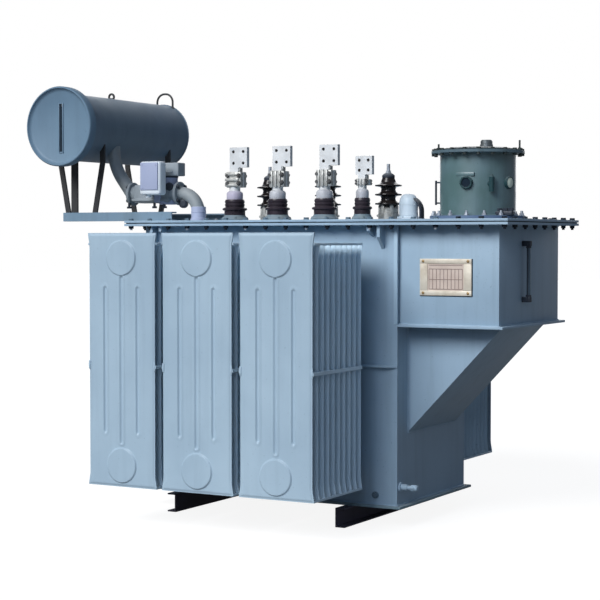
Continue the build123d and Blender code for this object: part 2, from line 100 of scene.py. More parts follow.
def mix_colour(tree, factor, first, second):
    made = add_node(tree, "ShaderNodeMix", data_type="RGBA")
    feed(tree, made.inputs[0], factor)
    feed(tree, made.inputs[6], first)
    feed(tree, made.inputs[7], second)
    return made.outputs[2]


def calculate(tree, operation, first, second, clamp=False):
    made = add_node(tree, "ShaderNodeMath", operation=operation, use_clamp=clamp)
    feed(tree, made.inputs[0], first)
    feed(tree, made.inputs[1], second)
    return made.outputs[0]


def ramp(tree, value, low, high, floor=0.0, ceiling=1.0):
    made = add_node(tree, "ShaderNodeMapRange", clamp=True)
    feed(tree, made.inputs["Value"], value)
    made.inputs["From Min"].default_value = low
    made.inputs["From Max"].default_value = high
    made.inputs["To Min"].default_value = floor
    made.inputs["To Max"].default_value = ceiling
    return made.outputs["Result"]


def noise(tree, vector, scale, detail=3.0, roughness=0.55):
    made = add_node(tree, "ShaderNodeTexNoise")
    feed(tree, made.inputs["Vector"], vector)
    feed(tree, made.inputs["Scale"], scale)
    made.inputs["Detail"].default_value = detail
    made.inputs["Roughness"].default_value = roughness
    return made.outputs["Fac"]


def object_space(tree, stretch=(1, 1, 1)):
    """The object's own coordinates, drawn closer together where stretch is large."""
    coordinates = add_node(tree, "ShaderNodeTexCoord")
    mapping = add_node(tree, "ShaderNodeMapping")
    tree.links.new(coordinates.outputs["Object"], mapping.inputs["Vector"])
    mapping.inputs["Scale"].default_value = stretch
    return mapping.outputs["Vector"]


def upward(tree):
    """How far a surface faces up, from 0 to 1."""
    geometry = add_node(tree, "ShaderNodeNewGeometry")
    split = add_node(tree, "ShaderNodeSeparateXYZ")
    tree.links.new(geometry.outputs["Normal"], split.inputs[0])
    return split.outputs["Z"]


def new_group(name, inputs, outputs):
    """An empty node group with named sockets, and its input and output nodes."""
    group = bpy.data.node_groups.new(name, "ShaderNodeTree")
    for label, kind, value in inputs:
        socket = group.interface.new_socket(label, in_out="INPUT", socket_type=kind)
        socket.default_value = value
    for label, kind in outputs:
        group.interface.new_socket(label, in_out="OUTPUT", socket_type=kind)
    return group, add_node(group, "NodeGroupInput").outputs, add_node(group, "NodeGroupOutput").inputs


def weathered_paint_group():
    """Brushed-on paint: mottled tone, run-down streaks, dust on what faces up and orange peel."""
    colour, number = "NodeSocketColor", "NodeSocketFloat"
    group, given, result = new_group(
        "weathered paint",
        [("Paint", colour, (0.4, 0.5, 0.6, 1)), ("Faded", colour, (0.5, 0.6, 0.7, 1)),
         ("Grime", colour, (0.2, 0.22, 0.24, 1)), ("Dust", colour, (0.6, 0.6, 0.58, 1)),
         ("Mottle", number, 3.0), ("Streaks", number, 0.25), ("Dustiness", number, 0.4),
         ("Roughness", number, 0.42)],
        [("Colour", colour), ("Roughness", number), ("Height", number)])
    here = object_space(group)
    patches = ramp(group, noise(group, here, given["Mottle"], 4.0), 0.35, 0.68)
    tone = mix_colour(group, patches, given["Paint"], given["Faded"])
    runs = noise(group, object_space(group, (14, 14, 0.9)), 1.6, 4.0, 0.6)
    runs = calculate(group, "MULTIPLY", ramp(group, runs, 0.5, 0.78), given["Streaks"])
    tone = mix_colour(group, runs, tone, given["Grime"])
    specks = ramp(group, noise(group, here, 95.0, 2.0), 0.68, 0.76, 0.0, 0.35)
    tone = mix_colour(group, specks, tone, given["Grime"])
    settled = ramp(group, upward(group), 0.35, 0.95)
    uneven = ramp(group, noise(group, here, 9.0), 0.3, 0.7, 0.5, 1.0)
    settled = calculate(group, "MULTIPLY", settled, uneven)
    settled = calculate(group, "MULTIPLY", settled, given["Dustiness"])
    tone = mix_colour(group, settled, tone, given["Dust"])
    group.links.new(tone, result["Colour"])
    rough = calculate(group, "ADD", given["Roughness"], calculate(group, "MULTIPLY", patches, 0.12))
    rough = calculate(group, "ADD", rough, calculate(group, "MULTIPLY", settled, 0.4), True)
    group.links.new(rough, result["Roughness"])
    peel = calculate(group, "MULTIPLY", noise(group, here, 420.0, 2.0), 0.6)
    dents = calculate(group, "MULTIPLY", noise(group, here, 7.0, 2.0), 3.0)
    group.links.new(calculate(group, "ADD", peel, dents), result["Height"])
    return group


def worn_metal_group():
    """Bare or plated metal: cloudy tone, fine scratches and dull spots."""
    colour, number = "NodeSocketColor", "NodeSocketFloat"
    group, given, result = new_group(
        "worn metal",
        [("Metal", colour, (0.7, 0.7, 0.7, 1)), ("Tarnish", colour, (0.4, 0.4, 0.4, 1)),
         ("Clouding", number, 30.0), ("Tarnish amount", number, 0.5), ("Roughness", number, 0.3)],
        [("Colour", colour), ("Roughness", number), ("Height", number)])
    here = object_space(group)
    clouds = ramp(group, noise(group, here, given["Clouding"], 4.0), 0.38, 0.7)
    amount = calculate(group, "MULTIPLY", clouds, given["Tarnish amount"])
    group.links.new(mix_colour(group, amount, given["Metal"], given["Tarnish"]), result["Colour"])
    scratches = noise(group, object_space(group, (900, 900, 60)), 1.0, 2.0)
    rough = calculate(group, "ADD", given["Roughness"], calculate(group, "MULTIPLY", clouds, 0.25))
    rough = calculate(group, "ADD", rough, calculate(group, "MULTIPLY", scratches, 0.12), True)
    group.links.new(rough, result["Roughness"])
    grain = calculate(group, "ADD", noise(group, here, 700.0, 2.0), scratches)
    group.links.new(grain, result["Height"])
    return group


WEATHERED_PAINT = weathered_paint_group()
WORN_METAL = worn_metal_group()


BUMP_STRENGTH = 0.35
PAINT_BUMP = 0.0006
METAL_BUMP = 0.0002


def finish_from_group(name, group, values, bump, metallic=0.0, specular=0.4):
    """A material whose colour, roughness and bump come from a group with its own values."""
    material = bpy.data.materials.new(name)
    material.use_nodes = True
    tree = material.node_tree
    shader = tree.nodes["Principled BSDF"]
    effect = add_node(tree, "ShaderNodeGroup", node_tree=group)
    for label, value in values.items():
        effect.inputs[label].default_value = value
    tree.links.new(effect.outputs["Colour"], shader.inputs["Base Color"])
    tree.links.new(effect.outputs["Roughness"], shader.inputs["Roughness"])
    relief = add_node(tree, "ShaderNodeBump")
    relief.inputs["Strength"].default_value = BUMP_STRENGTH
    relief.inputs["Distance"].default_value = bump
    tree.links.new(effect.outputs["Height"], relief.inputs["Height"])
    tree.links.new(relief.outputs["Normal"], shader.inputs["Normal"])
    shader.inputs["Metallic"].default_value = metallic
    shader.inputs["Specular IOR Level"].default_value = specular
    return material


def linear(colour):
    """A colour written as it looks on a screen, from 0 to 255, made linear and opaque."""
    shares = [part / 255 for part in colour]
    made = [share / 12.92 if share < 0.04 else ((share + 0.055) / 1.055) ** 2.4 for share in shares]
    return (*made, 1)


PLAIN_GRIME = (97.2, 104.6, 111.3)
PLAIN_DUST = (173.4, 178.9, 182.4)


def paint(name, tone, faded, grime=PLAIN_GRIME, dust=PLAIN_DUST, specular=0.3, **values):
    values.update(Paint=linear(tone), Faded=linear(faded), Grime=linear(grime), Dust=linear(dust))
    return finish_from_group(name, WEATHERED_PAINT, values, PAINT_BUMP, specular=specular)


def metal(name, tone, tarnish, metallic=1.0, **values):
    values.update(Metal=linear(tone), Tarnish=linear(tarnish))
    return finish_from_group(name, WORN_METAL, values, METAL_BUMP, metallic)


TANK_PAINT = paint("tank paint", (147, 171, 190), (157, 181, 199), grime=(96, 112, 124),
                   dust=(150, 166, 174), Streaks=0.22, Dustiness=0.4)
RADIATOR_PAINT = paint("radiator paint", (157, 179, 195), (167, 189, 204), grime=(112, 134, 150),
                       dust=(156, 172, 180), Streaks=0.16, Dustiness=0.35, Roughness=0.34)
DRUM_PAINT = paint("conservator paint", (106, 124, 138), (112, 130, 148), grime=(66, 78, 84),
                   dust=(84, 100, 112), Streaks=0.2, Dustiness=0.4)
DISC_PAINT = paint("conservator end paint", (104, 130, 151), (112, 138, 158), grime=(70, 84, 92),
                   dust=(84, 100, 112), Streaks=0.15, Dustiness=0.3)
BEAM_PAINT = paint("beam paint", (124, 145, 160), (116, 142, 162), grime=(84, 96, 100),
                   dust=(150, 160, 160), Streaks=0.3, Dustiness=0.5, Mottle=5.0)
HEAD_PAINT = paint("tap changer paint", (76, 104, 104), (92, 118, 124), grime=(42, 60, 60),
                   dust=(96, 112, 116), specular=0.9, Streaks=0.3, Mottle=6.0, Roughness=0.3)
DARK_FLANGE = paint("dark flange paint", (44, 52, 52), (58, 66, 64), grime=(24, 28, 28), Streaks=0.3,
                    Mottle=8.0, Roughness=0.4)
SKID_PAINT = paint("skid paint", (84, 78, 92), (98, 92, 104), grime=(44, 42, 48), dust=(96, 94, 100),
                   Streaks=0.2, Roughness=0.55)
LEG_PAINT = paint("leg paint", (50, 50, 52), (66, 66, 66), grime=(26, 26, 28), Streaks=0.3,
                  Roughness=0.5)
PALE_ENAMEL = paint("pale enamel", (216, 231, 241), (226, 238, 246), grime=(160, 180, 194), Streaks=0.1,
                    Roughness=0.28)
LILAC_ENAMEL = paint("lilac enamel", (162, 171, 198), (172, 180, 205), grime=(124, 130, 152),
                     Streaks=0.12, Roughness=0.36)
RELAY_GREY = paint("relay casting", (140, 149, 154), (152, 160, 166), grime=(84, 92, 96), Streaks=0.3,
                   Roughness=0.46, Mottle=9.0)
DARK_CASTING = paint("dark casting", (40, 46, 56), (56, 62, 72), grime=(20, 22, 26), Streaks=0.2,
                     Roughness=0.4)
TINNED = metal("tinned metal", (222, 223, 223), (190, 192, 193), 0.2, Clouding=18.0, Roughness=0.5)
ZINC = metal("zinc plated steel", (196, 202, 210), (110, 116, 124), 0.75, Clouding=80.0, Roughness=0.36)
CLAMP_ALLOY = metal("clamp alloy", (196, 196, 192), (112, 112, 108), 0.7, Clouding=60.0, Roughness=0.42)
PORCELAIN = paint("dark porcelain", (24, 21, 22), (40, 34, 33), grime=(12, 10, 10), dust=(60, 56, 54),
                  Streaks=0.1, Roughness=0.1, Dustiness=0.2, Mottle=20.0)
INSULATOR = paint("moulded insulator", (38, 32, 38), (54, 46, 54), grime=(18, 14, 18), dust=(78, 72, 76),
                  Streaks=0.1, Roughness=0.26, Dustiness=0.3, Mottle=14.0)
FOOT_PAINT = paint("bushing foot paint", (96, 118, 132), (120, 134, 138), grime=(52, 62, 66),
                   Streaks=0.3, Roughness=0.45, Mottle=12.0)
# Real gasket rubber on the rim, and painted shadow along the nameplate's lower and right edges.
GASKET_AND_PAINTED_SHADOW = paint("gasket rubber and painted shadow", (26, 34, 46), (36, 42, 52), grime=(14, 16, 20), Streaks=0.1,
               Roughness=0.7)
FRAME_METAL = metal("nameplate frame", (222, 214, 198), (160, 144, 124), 0.3, Clouding=14.0,
                    Roughness=0.42)
PLATE_METAL = metal("nameplate metal", (208, 192, 180), (168, 148, 138), 0.2, Clouding=12.0,
                    Roughness=0.45)
GLASS_TUBE = paint("gauge glass", (70, 88, 104), (92, 110, 122), Roughness=0.06, Dustiness=0.05)
# Near-white glass colour stands in for the glass's reflection: painted reflection.
GLASS_PAINTED_REFLECTION = paint("glass with painted reflection", (214, 226, 206), (232, 240, 226), Roughness=0.05, Dustiness=0.02)
DARK_GLASS = paint("dark glass", (22, 34, 46), (34, 48, 60), Roughness=0.05, Dustiness=0.05)
DARK_BOLT = paint("painted bolts", (92, 112, 126), (112, 132, 146), grime=(44, 52, 58), Streaks=0.3,
                  Roughness=0.45, Mottle=20.0)
PALE_STRIP = paint("corner strip paint", (160, 186, 205), (170, 194, 212), grime=(120, 140, 156),
                   Streaks=0.1, Roughness=0.36)
BASE_PAINT = paint("base plate paint", (124, 148, 158), (138, 160, 168), grime=(66, 80, 84), Streaks=0.3,
                   Roughness=0.5, Mottle=6.0)
PIPE_PAINT = paint("oil pipe paint", (136, 148, 156), (148, 152, 152), grime=(84, 90, 92), Streaks=0.25,
                   Mottle=8.0)
# Pale paint taken up to near white so that the box's shaded right side reads bright: partly its own pale
# colour, partly painted light.
PALE_CASTING_PAINTED_LIGHT = paint("terminal box paint whitened as painted light", (222, 230, 236), (232, 238, 242), grime=(170, 180, 188),
                     Streaks=0.2, Roughness=0.4)
STEM_CAP = paint("grey bushing cap", (172, 173, 180), (200, 201, 204), grime=(92, 90, 94), Streaks=0.4,
                 Roughness=0.3, Mottle=16.0)
CAP_PAINT = paint("bushing cap paint", (176, 170, 190), (190, 184, 200), grime=(110, 104, 118),
                  Streaks=0.2, Roughness=0.35, Mottle=12.0)
FLANGE_PAINT = paint("head flange paint", (86, 106, 116), (98, 118, 126), grime=(22, 28, 30),
                     dust=(40, 50, 54), Streaks=0.5, Dustiness=0.8, Mottle=10.0, Roughness=0.36)
HEAD_FITTING = paint("head fitting paint", (34, 62, 66), (48, 76, 80), grime=(18, 30, 32), Streaks=0.3,
                     Roughness=0.3)
LID_PAINT = paint("lid paint", (40, 50, 54), (54, 64, 68), grime=(20, 26, 28), dust=(52, 64, 68),
                  Streaks=0.2, Roughness=0.34)
# Darker slate blue than the tank paint, standing in for the shade on the base ring's side: painted shade.
BASE_RING_PAINTED_SHADE = paint("head base ring paint darkened as painted shade", (84, 104, 134), (96, 116, 142), grime=(44, 56, 74),
                   dust=(74, 92, 112), Streaks=0.3, Dustiness=0.7, Roughness=0.4)
DARK_STEEL = metal("dark steel bolts", (96, 96, 96), (48, 48, 48), 0.6, Clouding=60.0, Roughness=0.4)
CAP_METAL = metal("polished cap", (150, 156, 158), (60, 66, 68), 0.9, Clouding=30.0, Roughness=0.22)
# Near black stands in for the shade under the rim and along its right end: painted shade on the nuts,
# most bolt ends and the right end's heads.
NUT_PAINTED_SHADE = paint("nuts and ends in painted shade", (24, 34, 46), (34, 44, 56), grime=(12, 16, 22), Streaks=0.2,
                  Roughness=0.5, Mottle=20.0)
# The inner panels carry the radiators' own paint, made paler here as painted light on the fins between
# the panels.
INNER_PANEL_PAINTED_LIGHT = paint("inner panel paint with painted light", (200, 224, 240), (208, 230, 244), grime=(120, 142, 158),
                  dust=(160, 176, 184), Streaks=0.16, Dustiness=0.3, Roughness=0.4)
# Near-black discs in the pad's holes stand in for the shade inside them: painted shade.
HOLE_PAINTED_SHADE = paint("painted shade in pad holes", (20, 18, 18), (34, 30, 28), grime=(10, 10, 10), Roughness=0.6)
RULE_INK = paint("etched rules", (134, 116, 110), (152, 134, 126), Streaks=0.1, Roughness=0.5)
BRASS = metal("worn brass", (168, 142, 100), (96, 78, 56), 0.8, Clouding=50.0, Roughness=0.4)


# Modelling helpers

def piece(name, bm, material, replaces=()):
    """Makes a finished piece of a bmesh: outward faces, metres, its material and body."""
    bmesh.ops.recalc_face_normals(bm, faces=bm.faces)
    bmesh.ops.scale(bm, vec=(MM, MM, MM), verts=bm.verts)
    mesh = bpy.data.meshes.new(name)
    bm.to_mesh(mesh)
    bm.free()
    mesh.shade_smooth()
    mesh.set_sharp_from_angle(angle=SMOOTH_ANGLE)
    mesh.materials.append(material)
    obj = bpy.data.objects.new(name, mesh)
    bpy.context.scene.collection.objects.link(obj)
    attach(obj, "root")
    if replaces:
        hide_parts(*replaces)


def bevel_all(bm, edges, width, segments=2):
    bmesh.ops.bevel(bm, geom=edges, offset=width, affect="EDGES", segments=segments,
                    profile=0.5, material=-1)


def add_block(bm, low, high, bevel=0.0, segments=2):
    """A box between two corners, with its edges rounded."""
    low, high = Vector(low), Vector(high)
    size = high - low
    place = Matrix.Translation((low + high) / 2) @ Matrix.Diagonal((*size, 1))
    made = bmesh.ops.create_cube(bm, size=1.0, matrix=place)
    if bevel:
        edges = {edge for vert in made["verts"] for edge in vert.link_edges}
        bevel_all(bm, list(edges), bevel, segments)
    return made["verts"]


def along(axis):
    """The turn that points a shape's Z along an axis."""
    return Vector(UP).rotation_difference(Vector(axis)).to_matrix().to_4x4()


def add_rod(bm, start, end, radius, segments=16, end_radius=None):
    """A round bar between two points."""
    start, end = Vector(start), Vector(end)
    run = end - start
    place = Matrix.Translation((start + end) / 2) @ along(run)
    top = radius if end_radius is None else end_radius
    bmesh.ops.create_cone(bm, cap_ends=True, segments=segments, radius1=radius, radius2=top,
                          depth=run.length, matrix=place)


def turned_bmesh(profile, steps=48):
    """A fresh bmesh turned about Z, with its poles closed."""
    bm = bmesh.new()
    verts = [bm.verts.new((radius, 0, height)) for radius, height in profile]
    edges = [bm.edges.new(pair) for pair in zip(verts, verts[1:])]
    bmesh.ops.spin(bm, geom=verts + edges, cent=(0, 0, 0), axis=UP, dvec=(0, 0, 0),
                   angle=math.tau, steps=steps, use_merge=True, use_duplicate=False)
    bmesh.ops.remove_doubles(bm, verts=bm.verts, dist=MERGE_DISTANCE)
    return bm


def merge_in(bm, part, place):
    """Adds a moved copy of another bmesh."""
    mesh = bpy.data.meshes.new("part")
    part.to_mesh(mesh)
    mesh.transform(place)
    bm.from_mesh(mesh)
    bpy.data.meshes.remove(mesh)


def add_turning(bm, profile, place=(0, 0, 0), axis=UP, steps=48):
    """Turns a profile of (radius, height) points and stands it on a place along an axis."""
    part = turned_bmesh(profile, steps)
    merge_in(bm, part, Matrix.Translation(Vector(place)) @ along(axis))
    part.free()


def turned_piece(name, profile, place, material, replaces=(), axis=UP, steps=48):
    """A piece that is one turning."""
    bm = bmesh.new()
    add_turning(bm, profile, place, axis, steps)
    piece(name, bm, material, replaces)


def bent_route(points, radius, steps=8):
    """A route of straight runs whose corners are rounded to a radius."""
    points = [Vector(point) for point in points]
    route = [points[0]]
    for before, corner, after in zip(points, points[1:], points[2:]):
        back = (before - corner).normalized()
        ahead = (after - corner).normalized()
        half = back.angle(ahead) / 2
        middle = corner + (back + ahead).normalized() * (radius / math.sin(half))
        start = corner + back * (radius / math.tan(half)) - middle
        turn = start.rotation_difference(corner + ahead * (radius / math.tan(half)) - middle)
        for step in range(steps + 1):
            part = turn.copy()
            part.angle = turn.angle * step / steps
            route.append(middle + part @ start)
    return route + [points[-1]]


def add_tube(bm, route, radius, segments=16, closed=False, ripple=0.0):
    """A round bar, pipe or weld bead along a route, bridged ring by ring."""
    route = [Vector(point) for point in route]
    count = len(route)
    rings = []
    frame_turn = None
    for index, point in enumerate(route):
        before = route[index - 1] if index or closed else point
        after = route[(index + 1) % count] if index + 1 < count or closed else point
        heading = (after - before).normalized()
        if frame_turn is None:
            frame_turn = Vector(UP).rotation_difference(heading)
        else:
            frame_turn = last_heading.rotation_difference(heading) @ frame_turn
        last_heading = heading
        size = radius * (1 + ripple * (index % 2))
        place = Matrix.Translation(point) @ frame_turn.to_matrix().to_4x4()
        made = bmesh.ops.create_circle(bm, cap_ends=False, segments=segments, radius=size, matrix=place)
        rings.append(list({edge for vert in made["verts"] for edge in vert.link_edges}))
    pairs = list(zip(rings, rings[1:]))
    if closed:
        pairs.append((rings[-1], rings[0]))
    for first, second in pairs:
        bmesh.ops.bridge_loops(bm, edges=first + second)
    if not closed:
        bmesh.ops.edgeloop_fill(bm, edges=rings[0])
        bmesh.ops.edgeloop_fill(bm, edges=rings[-1])


def around(count, radius, start=0.0):
    """Places on a circle, as (x, y, angle)."""
    for index in range(count):
        angle = start + math.tau * index / count
        yield radius * math.cos(angle), radius * math.sin(angle), angle


def circle_route(place, axis, radius, count):
    """Points round a circle that faces along an axis."""
    spot = Matrix.Translation(Vector(place)) @ along(axis)
    return [spot @ Vector((x, y, 0)) for x, y, angle in around(count, radius)]


def add_ring(bm, place, axis, radius, bar, count, segments):
    """A closed ring of round bar."""
    add_tube(bm, circle_route(place, axis, radius, count), bar, segments, closed=True)


BEAD_STEP = 9
BEAD_SIDES = 6
BEAD_RIPPLE = 0.22


def add_weld(bm, start, end, size=4):
    """A rippled bead along a seam, half sunk in it."""
    start, end = Vector(start), Vector(end)
    steps = max(4, round((end - start).length / BEAD_STEP))
    route = [start.lerp(end, index / steps) for index in range(steps + 1)]
    add_tube(bm, route, size, BEAD_SIDES, ripple=BEAD_RIPPLE)


def add_round_weld(bm, place, axis, radius, size):
    """A rippled bead round a joint, with an even count of steps so that it closes."""
    count = 2 * max(8, round(math.pi * radius / BEAD_STEP))
    add_tube(bm, circle_route(place, axis, radius, count), size, BEAD_SIDES, closed=True,
             ripple=BEAD_RIPPLE)


def add_disc(bm, place, axis, radius, depth, segments=16, turn=0.0):
    """A short straight bar whose seat is at a place."""
    spot = Matrix.Translation(Vector(place)) @ along(axis) @ Matrix.Rotation(turn, 4, "Z")
    bmesh.ops.create_cone(bm, cap_ends=True, segments=segments, radius1=radius, radius2=radius,
                          depth=depth, matrix=spot @ Matrix.Translation((0, 0, depth / 2)))


def add_hex(bm, place, axis, across, depth, turn=0.0):
    """A hexagon head or nut, given its width across the flats."""
    add_disc(bm, place, axis, across / math.sqrt(3), depth, 6, turn)


# A bolt's proportions, as shares of its thread's diameter
WASHER_RADIUS = 1.05
WASHER_DEPTH = 0.18
ACROSS_FLATS = 1.55
HEAD_DEPTH = 0.65
TIP_RADIUS = 0.45
TIP_LENGTH = 0.3


def add_bolt(bm, place, axis, size, turn=0.0):
    """Washer, hexagon head and the tip of the thread; size is the thread's diameter."""
    place, axis = Vector(place), Vector(axis).normalized()
    add_disc(bm, place, axis, size * WASHER_RADIUS, size * WASHER_DEPTH)
    add_hex(bm, place + axis * size * WASHER_DEPTH, axis, size * ACROSS_FLATS, size * HEAD_DEPTH, turn)
    tip = place + axis * size * (WASHER_DEPTH + HEAD_DEPTH)
    add_disc(bm, tip, axis, size * TIP_RADIUS, size * TIP_LENGTH, 10)


# Radiators

PANEL_RIM = 3
PANEL_HALF_DEPTH = 4.5
SHEET_HALF_DEPTH = 1.2
PRESS_SLOPE = 9
GROOVE_PITCH = 80
GROOVE_HALF = 6
GROOVE_DEPTH = 4.2
GROOVE_LIP = 2.2
GROOVE_START = 184
SIDE_GROOVE_START = 226
DOME_RADIUS = 74
DOME_SLOPE = 6
DOME_RISE = 6
DOME_FROM_TOP = 102
DOME_FROM_BOTTOM = 88
HEADER_FROM_END = 100
HEADER_RADIUS = 36
PANEL_PITCH = 45
PANEL_COUNT = 10
FLARE = 7
FLARE_HEIGHT = 56
STRAP_HEIGHT = 9
STRAP_DEPTH = 3
INNER_DROP = 41
TIE_BAR_RISE = 495
TIE_BAR_HALF_DEPTH = 2.5
TIE_BAR_HALF_HEIGHT = 7
CLIP_WIDTH = 9
FINE_STEP = 2.7
FINE_HALF = 92
FINE_ROWS_START = 10
FINE_ROWS_END = 180


def ease(value):
    """From 0 to 1 with level ends."""
    value = min(max(value, 0.0), 1.0)
    return value * value * (3 - 2 * value)


class PanelShape:
    """The pressed relief of a radiator panel, over x from its middle and z from its bottom."""

    def __init__(self, width, height):
        self.half = width / 2 - FLARE
        self.height = height

    def from_end(self, z):
        return min(z, self.height - z)

    def half_width(self, z):
        return self.half + FLARE * ease(1 - self.from_end(z) / FLARE_HEIGHT)

    def relief(self, x, z, domed):
        """Height of the pressed sheet above the panel's middle plane."""
        inside = min(self.half_width(z) - abs(x), self.from_end(z)) - PANEL_RIM
        rise = SHEET_HALF_DEPTH + (PANEL_HALF_DEPTH - SHEET_HALF_DEPTH) * ease(inside / PRESS_SLOPE)
        for groove in (-GROOVE_PITCH, 0.0, GROOVE_PITCH):
            past = self.from_end(z) - (SIDE_GROOVE_START if groove else GROOVE_START)
            away = math.hypot(x - groove, min(past, 0.0)) / GROOVE_HALF
            rise += GROOVE_LIP * ease(1.1 - abs(away - 2.0)) - GROOVE_DEPTH * ease(1.5 - away)
        if domed:
            for middle in (DOME_FROM_BOTTOM, self.height - DOME_FROM_TOP):
                away = math.hypot(x, z - middle)
                rise += DOME_RISE * ease((DOME_RADIUS - away) / DOME_SLOPE)
        return min(rise, PANEL_HALF_DEPTH + DOME_RISE)


def spread(start, end, count):
    """Even places from the start up to, but without, the end."""
    return [start + (end - start) * index / count for index in range(count)]


def pressed_sheet(shape, columns, rows, domed):
    """One side of a panel: a grid in XZ, pressed towards -Y, with its border on the middle plane."""
    bm = bmesh.new()
    bmesh.ops.create_grid(bm, x_segments=len(columns) - 1, y_segments=len(rows) - 1, size=1.0)
    last_column, last_row = len(columns) - 1, len(rows) - 1
    for vert in bm.verts:
        column = round((vert.co.x + 1) / 2 * last_column)
        row = round((vert.co.y + 1) / 2 * last_row)
        z = rows[row]
        x = columns[column] * shape.half_width(z)
        at_edge = column in (0, last_column) or row in (0, last_row)
        vert.co = (x, 0 if at_edge else -shape.relief(x, z, domed), z)
    return bm


def inner_panel(shape):
    """A panel with the same pressing on both sides."""
    bm = pressed_sheet(shape, coarse_columns(shape.half), coarse_rows(shape.height), False)
    geometry = bm.verts[:] + bm.edges[:] + bm.faces[:]
    bmesh.ops.mirror(bm, geom=geometry, axis="Y", merge_dist=MERGE_DISTANCE)
    bmesh.ops.recalc_face_normals(bm, faces=bm.faces)
    return bm


def outer_panel(shape):
    """The front panel, finely pressed on its outer side and closed by a flat sheet behind."""
    bm = pressed_sheet(shape, fine_columns(shape.half), fine_rows(shape.height), True)
    border = [edge for edge in bm.edges if edge.is_boundary]
    made = bmesh.ops.extrude_edge_only(bm, edges=border)
    back = [each for each in made["geom"] if isinstance(each, bmesh.types.BMVert)]
    bmesh.ops.translate(bm, verts=back, vec=(0, PANEL_HALF_DEPTH, 0))
    bmesh.ops.edgeloop_fill(bm, edges=[edge for edge in bm.edges if edge.is_boundary])
    bmesh.ops.recalc_face_normals(bm, faces=bm.faces)
    return bm


def fine_columns(half):
    """Column places as shares of the half width, close together over the domes and the grooves."""
    places = spread(0.0, FINE_HALF, round(FINE_HALF / FINE_STEP))
    flat_end = half - PANEL_RIM - PRESS_SLOPE
    places += spread(FINE_HALF, flat_end, 4) + spread(flat_end, half - 0.3, 5)
    right = [place / half for place in places[1:]] + [1 - 0.3 / half, 1.0]
    return [-value for value in reversed(right)] + [0.0] + right


def fine_rows(height):
    """Row heights, close together over the domes and the grooves' ends."""
    low = [0.0, 0.3, 3, 5, 7.5]
    low += spread(FINE_ROWS_START, FINE_ROWS_END, round((FINE_ROWS_END - FINE_ROWS_START) / FINE_STEP))
    low += spread(FINE_ROWS_END, SIDE_GROOVE_START + 12, 9)
    middle = spread(SIDE_GROOVE_START + 12, height - SIDE_GROOVE_START - 12, 10)
    return low + middle + [height - z for z in reversed(low)]


def coarse_columns(half):
    """Column places of an inner panel, as shares of the half width."""
    rim = 1 - PANEL_RIM / half
    top = 1 - (PANEL_RIM + PRESS_SLOPE) / half
    right = []
    for groove in (0.0, GROOVE_PITCH / half):
        reach = 1.6 * GROOVE_HALF / half
        right += [groove - reach, groove, groove + reach]
    right = [value for value in right if value > 0] + [top, (top + rim) / 2, rim, 0.999, 1.0]
    return [-value for value in reversed(right)] + [0.0] + right


def coarse_rows(height):
    low = [0.0, 0.3, PANEL_RIM, PANEL_RIM + PRESS_SLOPE, FLARE_HEIGHT / 2, FLARE_HEIGHT]
    return low + [height / 2] + [height - z for z in reversed(low)]


def radiator_bank(side, place):
    """Pressed panels on two header pipes, tied along their edges; the outer panel is domed."""
    node = f"radiator_{side}_{place}"
    low, high = corners(node)
    shape = PanelShape(high.x - low.x, high.z - low.z)
    short = PanelShape(high.x - low.x, high.z - low.z - INNER_DROP)
    fine = outer_panel(shape)
    coarse = inner_panel(short)
    facing = -1 if side == "front" else 1
    outer = low.y if side == "front" else high.y
    middle = (low.x + high.x) / 2
    bm = bmesh.new()
    inside = bmesh.new()
    first = outer - facing * (PANEL_HALF_DEPTH + DOME_RISE)
    turn = Matrix() if side == "front" else Matrix.Rotation(math.pi, 4, "Z")
    merge_in(bm, fine, Matrix.Translation((middle, first, low.z)) @ turn)
    for index in range(1, PANEL_COUNT):
        y = first - facing * index * PANEL_PITCH
        merge_in(inside, coarse, Matrix.Translation((middle, y, low.z)) @ turn)
    last = first - facing * (PANEL_COUNT - 1) * PANEL_PITCH
    inner = high.y if side == "front" else low.y
    for z in (low.z + HEADER_FROM_END, high.z - HEADER_FROM_END):
        add_rod(inside, (middle, first, z), (middle, inner, z), HEADER_RADIUS, 32)
    fine.free()
    coarse.free()
    y0, y1 = sorted((first, last))
    for edge in (-1, 1):
        x = middle + edge * (shape.half_width(0) - STRAP_DEPTH)
        for bottom in (low.z, high.z - INNER_DROP - STRAP_HEIGHT):
            add_block(inside, (min(x, x + edge * STRAP_DEPTH), y0, bottom),
                      (max(x, x + edge * STRAP_DEPTH), y1, bottom + STRAP_HEIGHT), 0.8, 1)
        rod_x = middle + edge * (shape.half + 3)
        rod_z = low.z + TIE_BAR_RISE
        add_block(inside, (rod_x - TIE_BAR_HALF_DEPTH, y0 - 3, rod_z - TIE_BAR_HALF_HEIGHT),
                  (rod_x + TIE_BAR_HALF_DEPTH, y1 + 3, rod_z + TIE_BAR_HALF_HEIGHT), 0.8, 1)
        clip_x = rod_x - edge * CLIP_WIDTH
        clip_y = first + facing * (PANEL_HALF_DEPTH + 0.5)
        add_block(bm, (min(clip_x, rod_x), min(clip_y, first), rod_z - 17),
                  (max(clip_x, rod_x), max(clip_y, first), rod_z + 19), 1.5)
    piece(f"pressed_{node}", bm, RADIATOR_PAINT, [node])
    # Inner panels, straps, tie bars and headers take the paler paint as painted light.
    piece(f"inner_panels_{side}_{place}", inside, INNER_PANEL_PAINTED_LIGHT)


for side in ("front", "rear"):
    for place in ("left", "middle", "right"):
        radiator_bank(side, place)


# Tank, box and cover

def plate_from(node, material, bevel=1.2):
    """A plate or box of the node's size with its edges rounded."""
    bm = bmesh.new()
    low, high = corners(node)
    add_block(bm, low, high, bevel)
    piece(f"dressed_{node}", bm, material, [node])


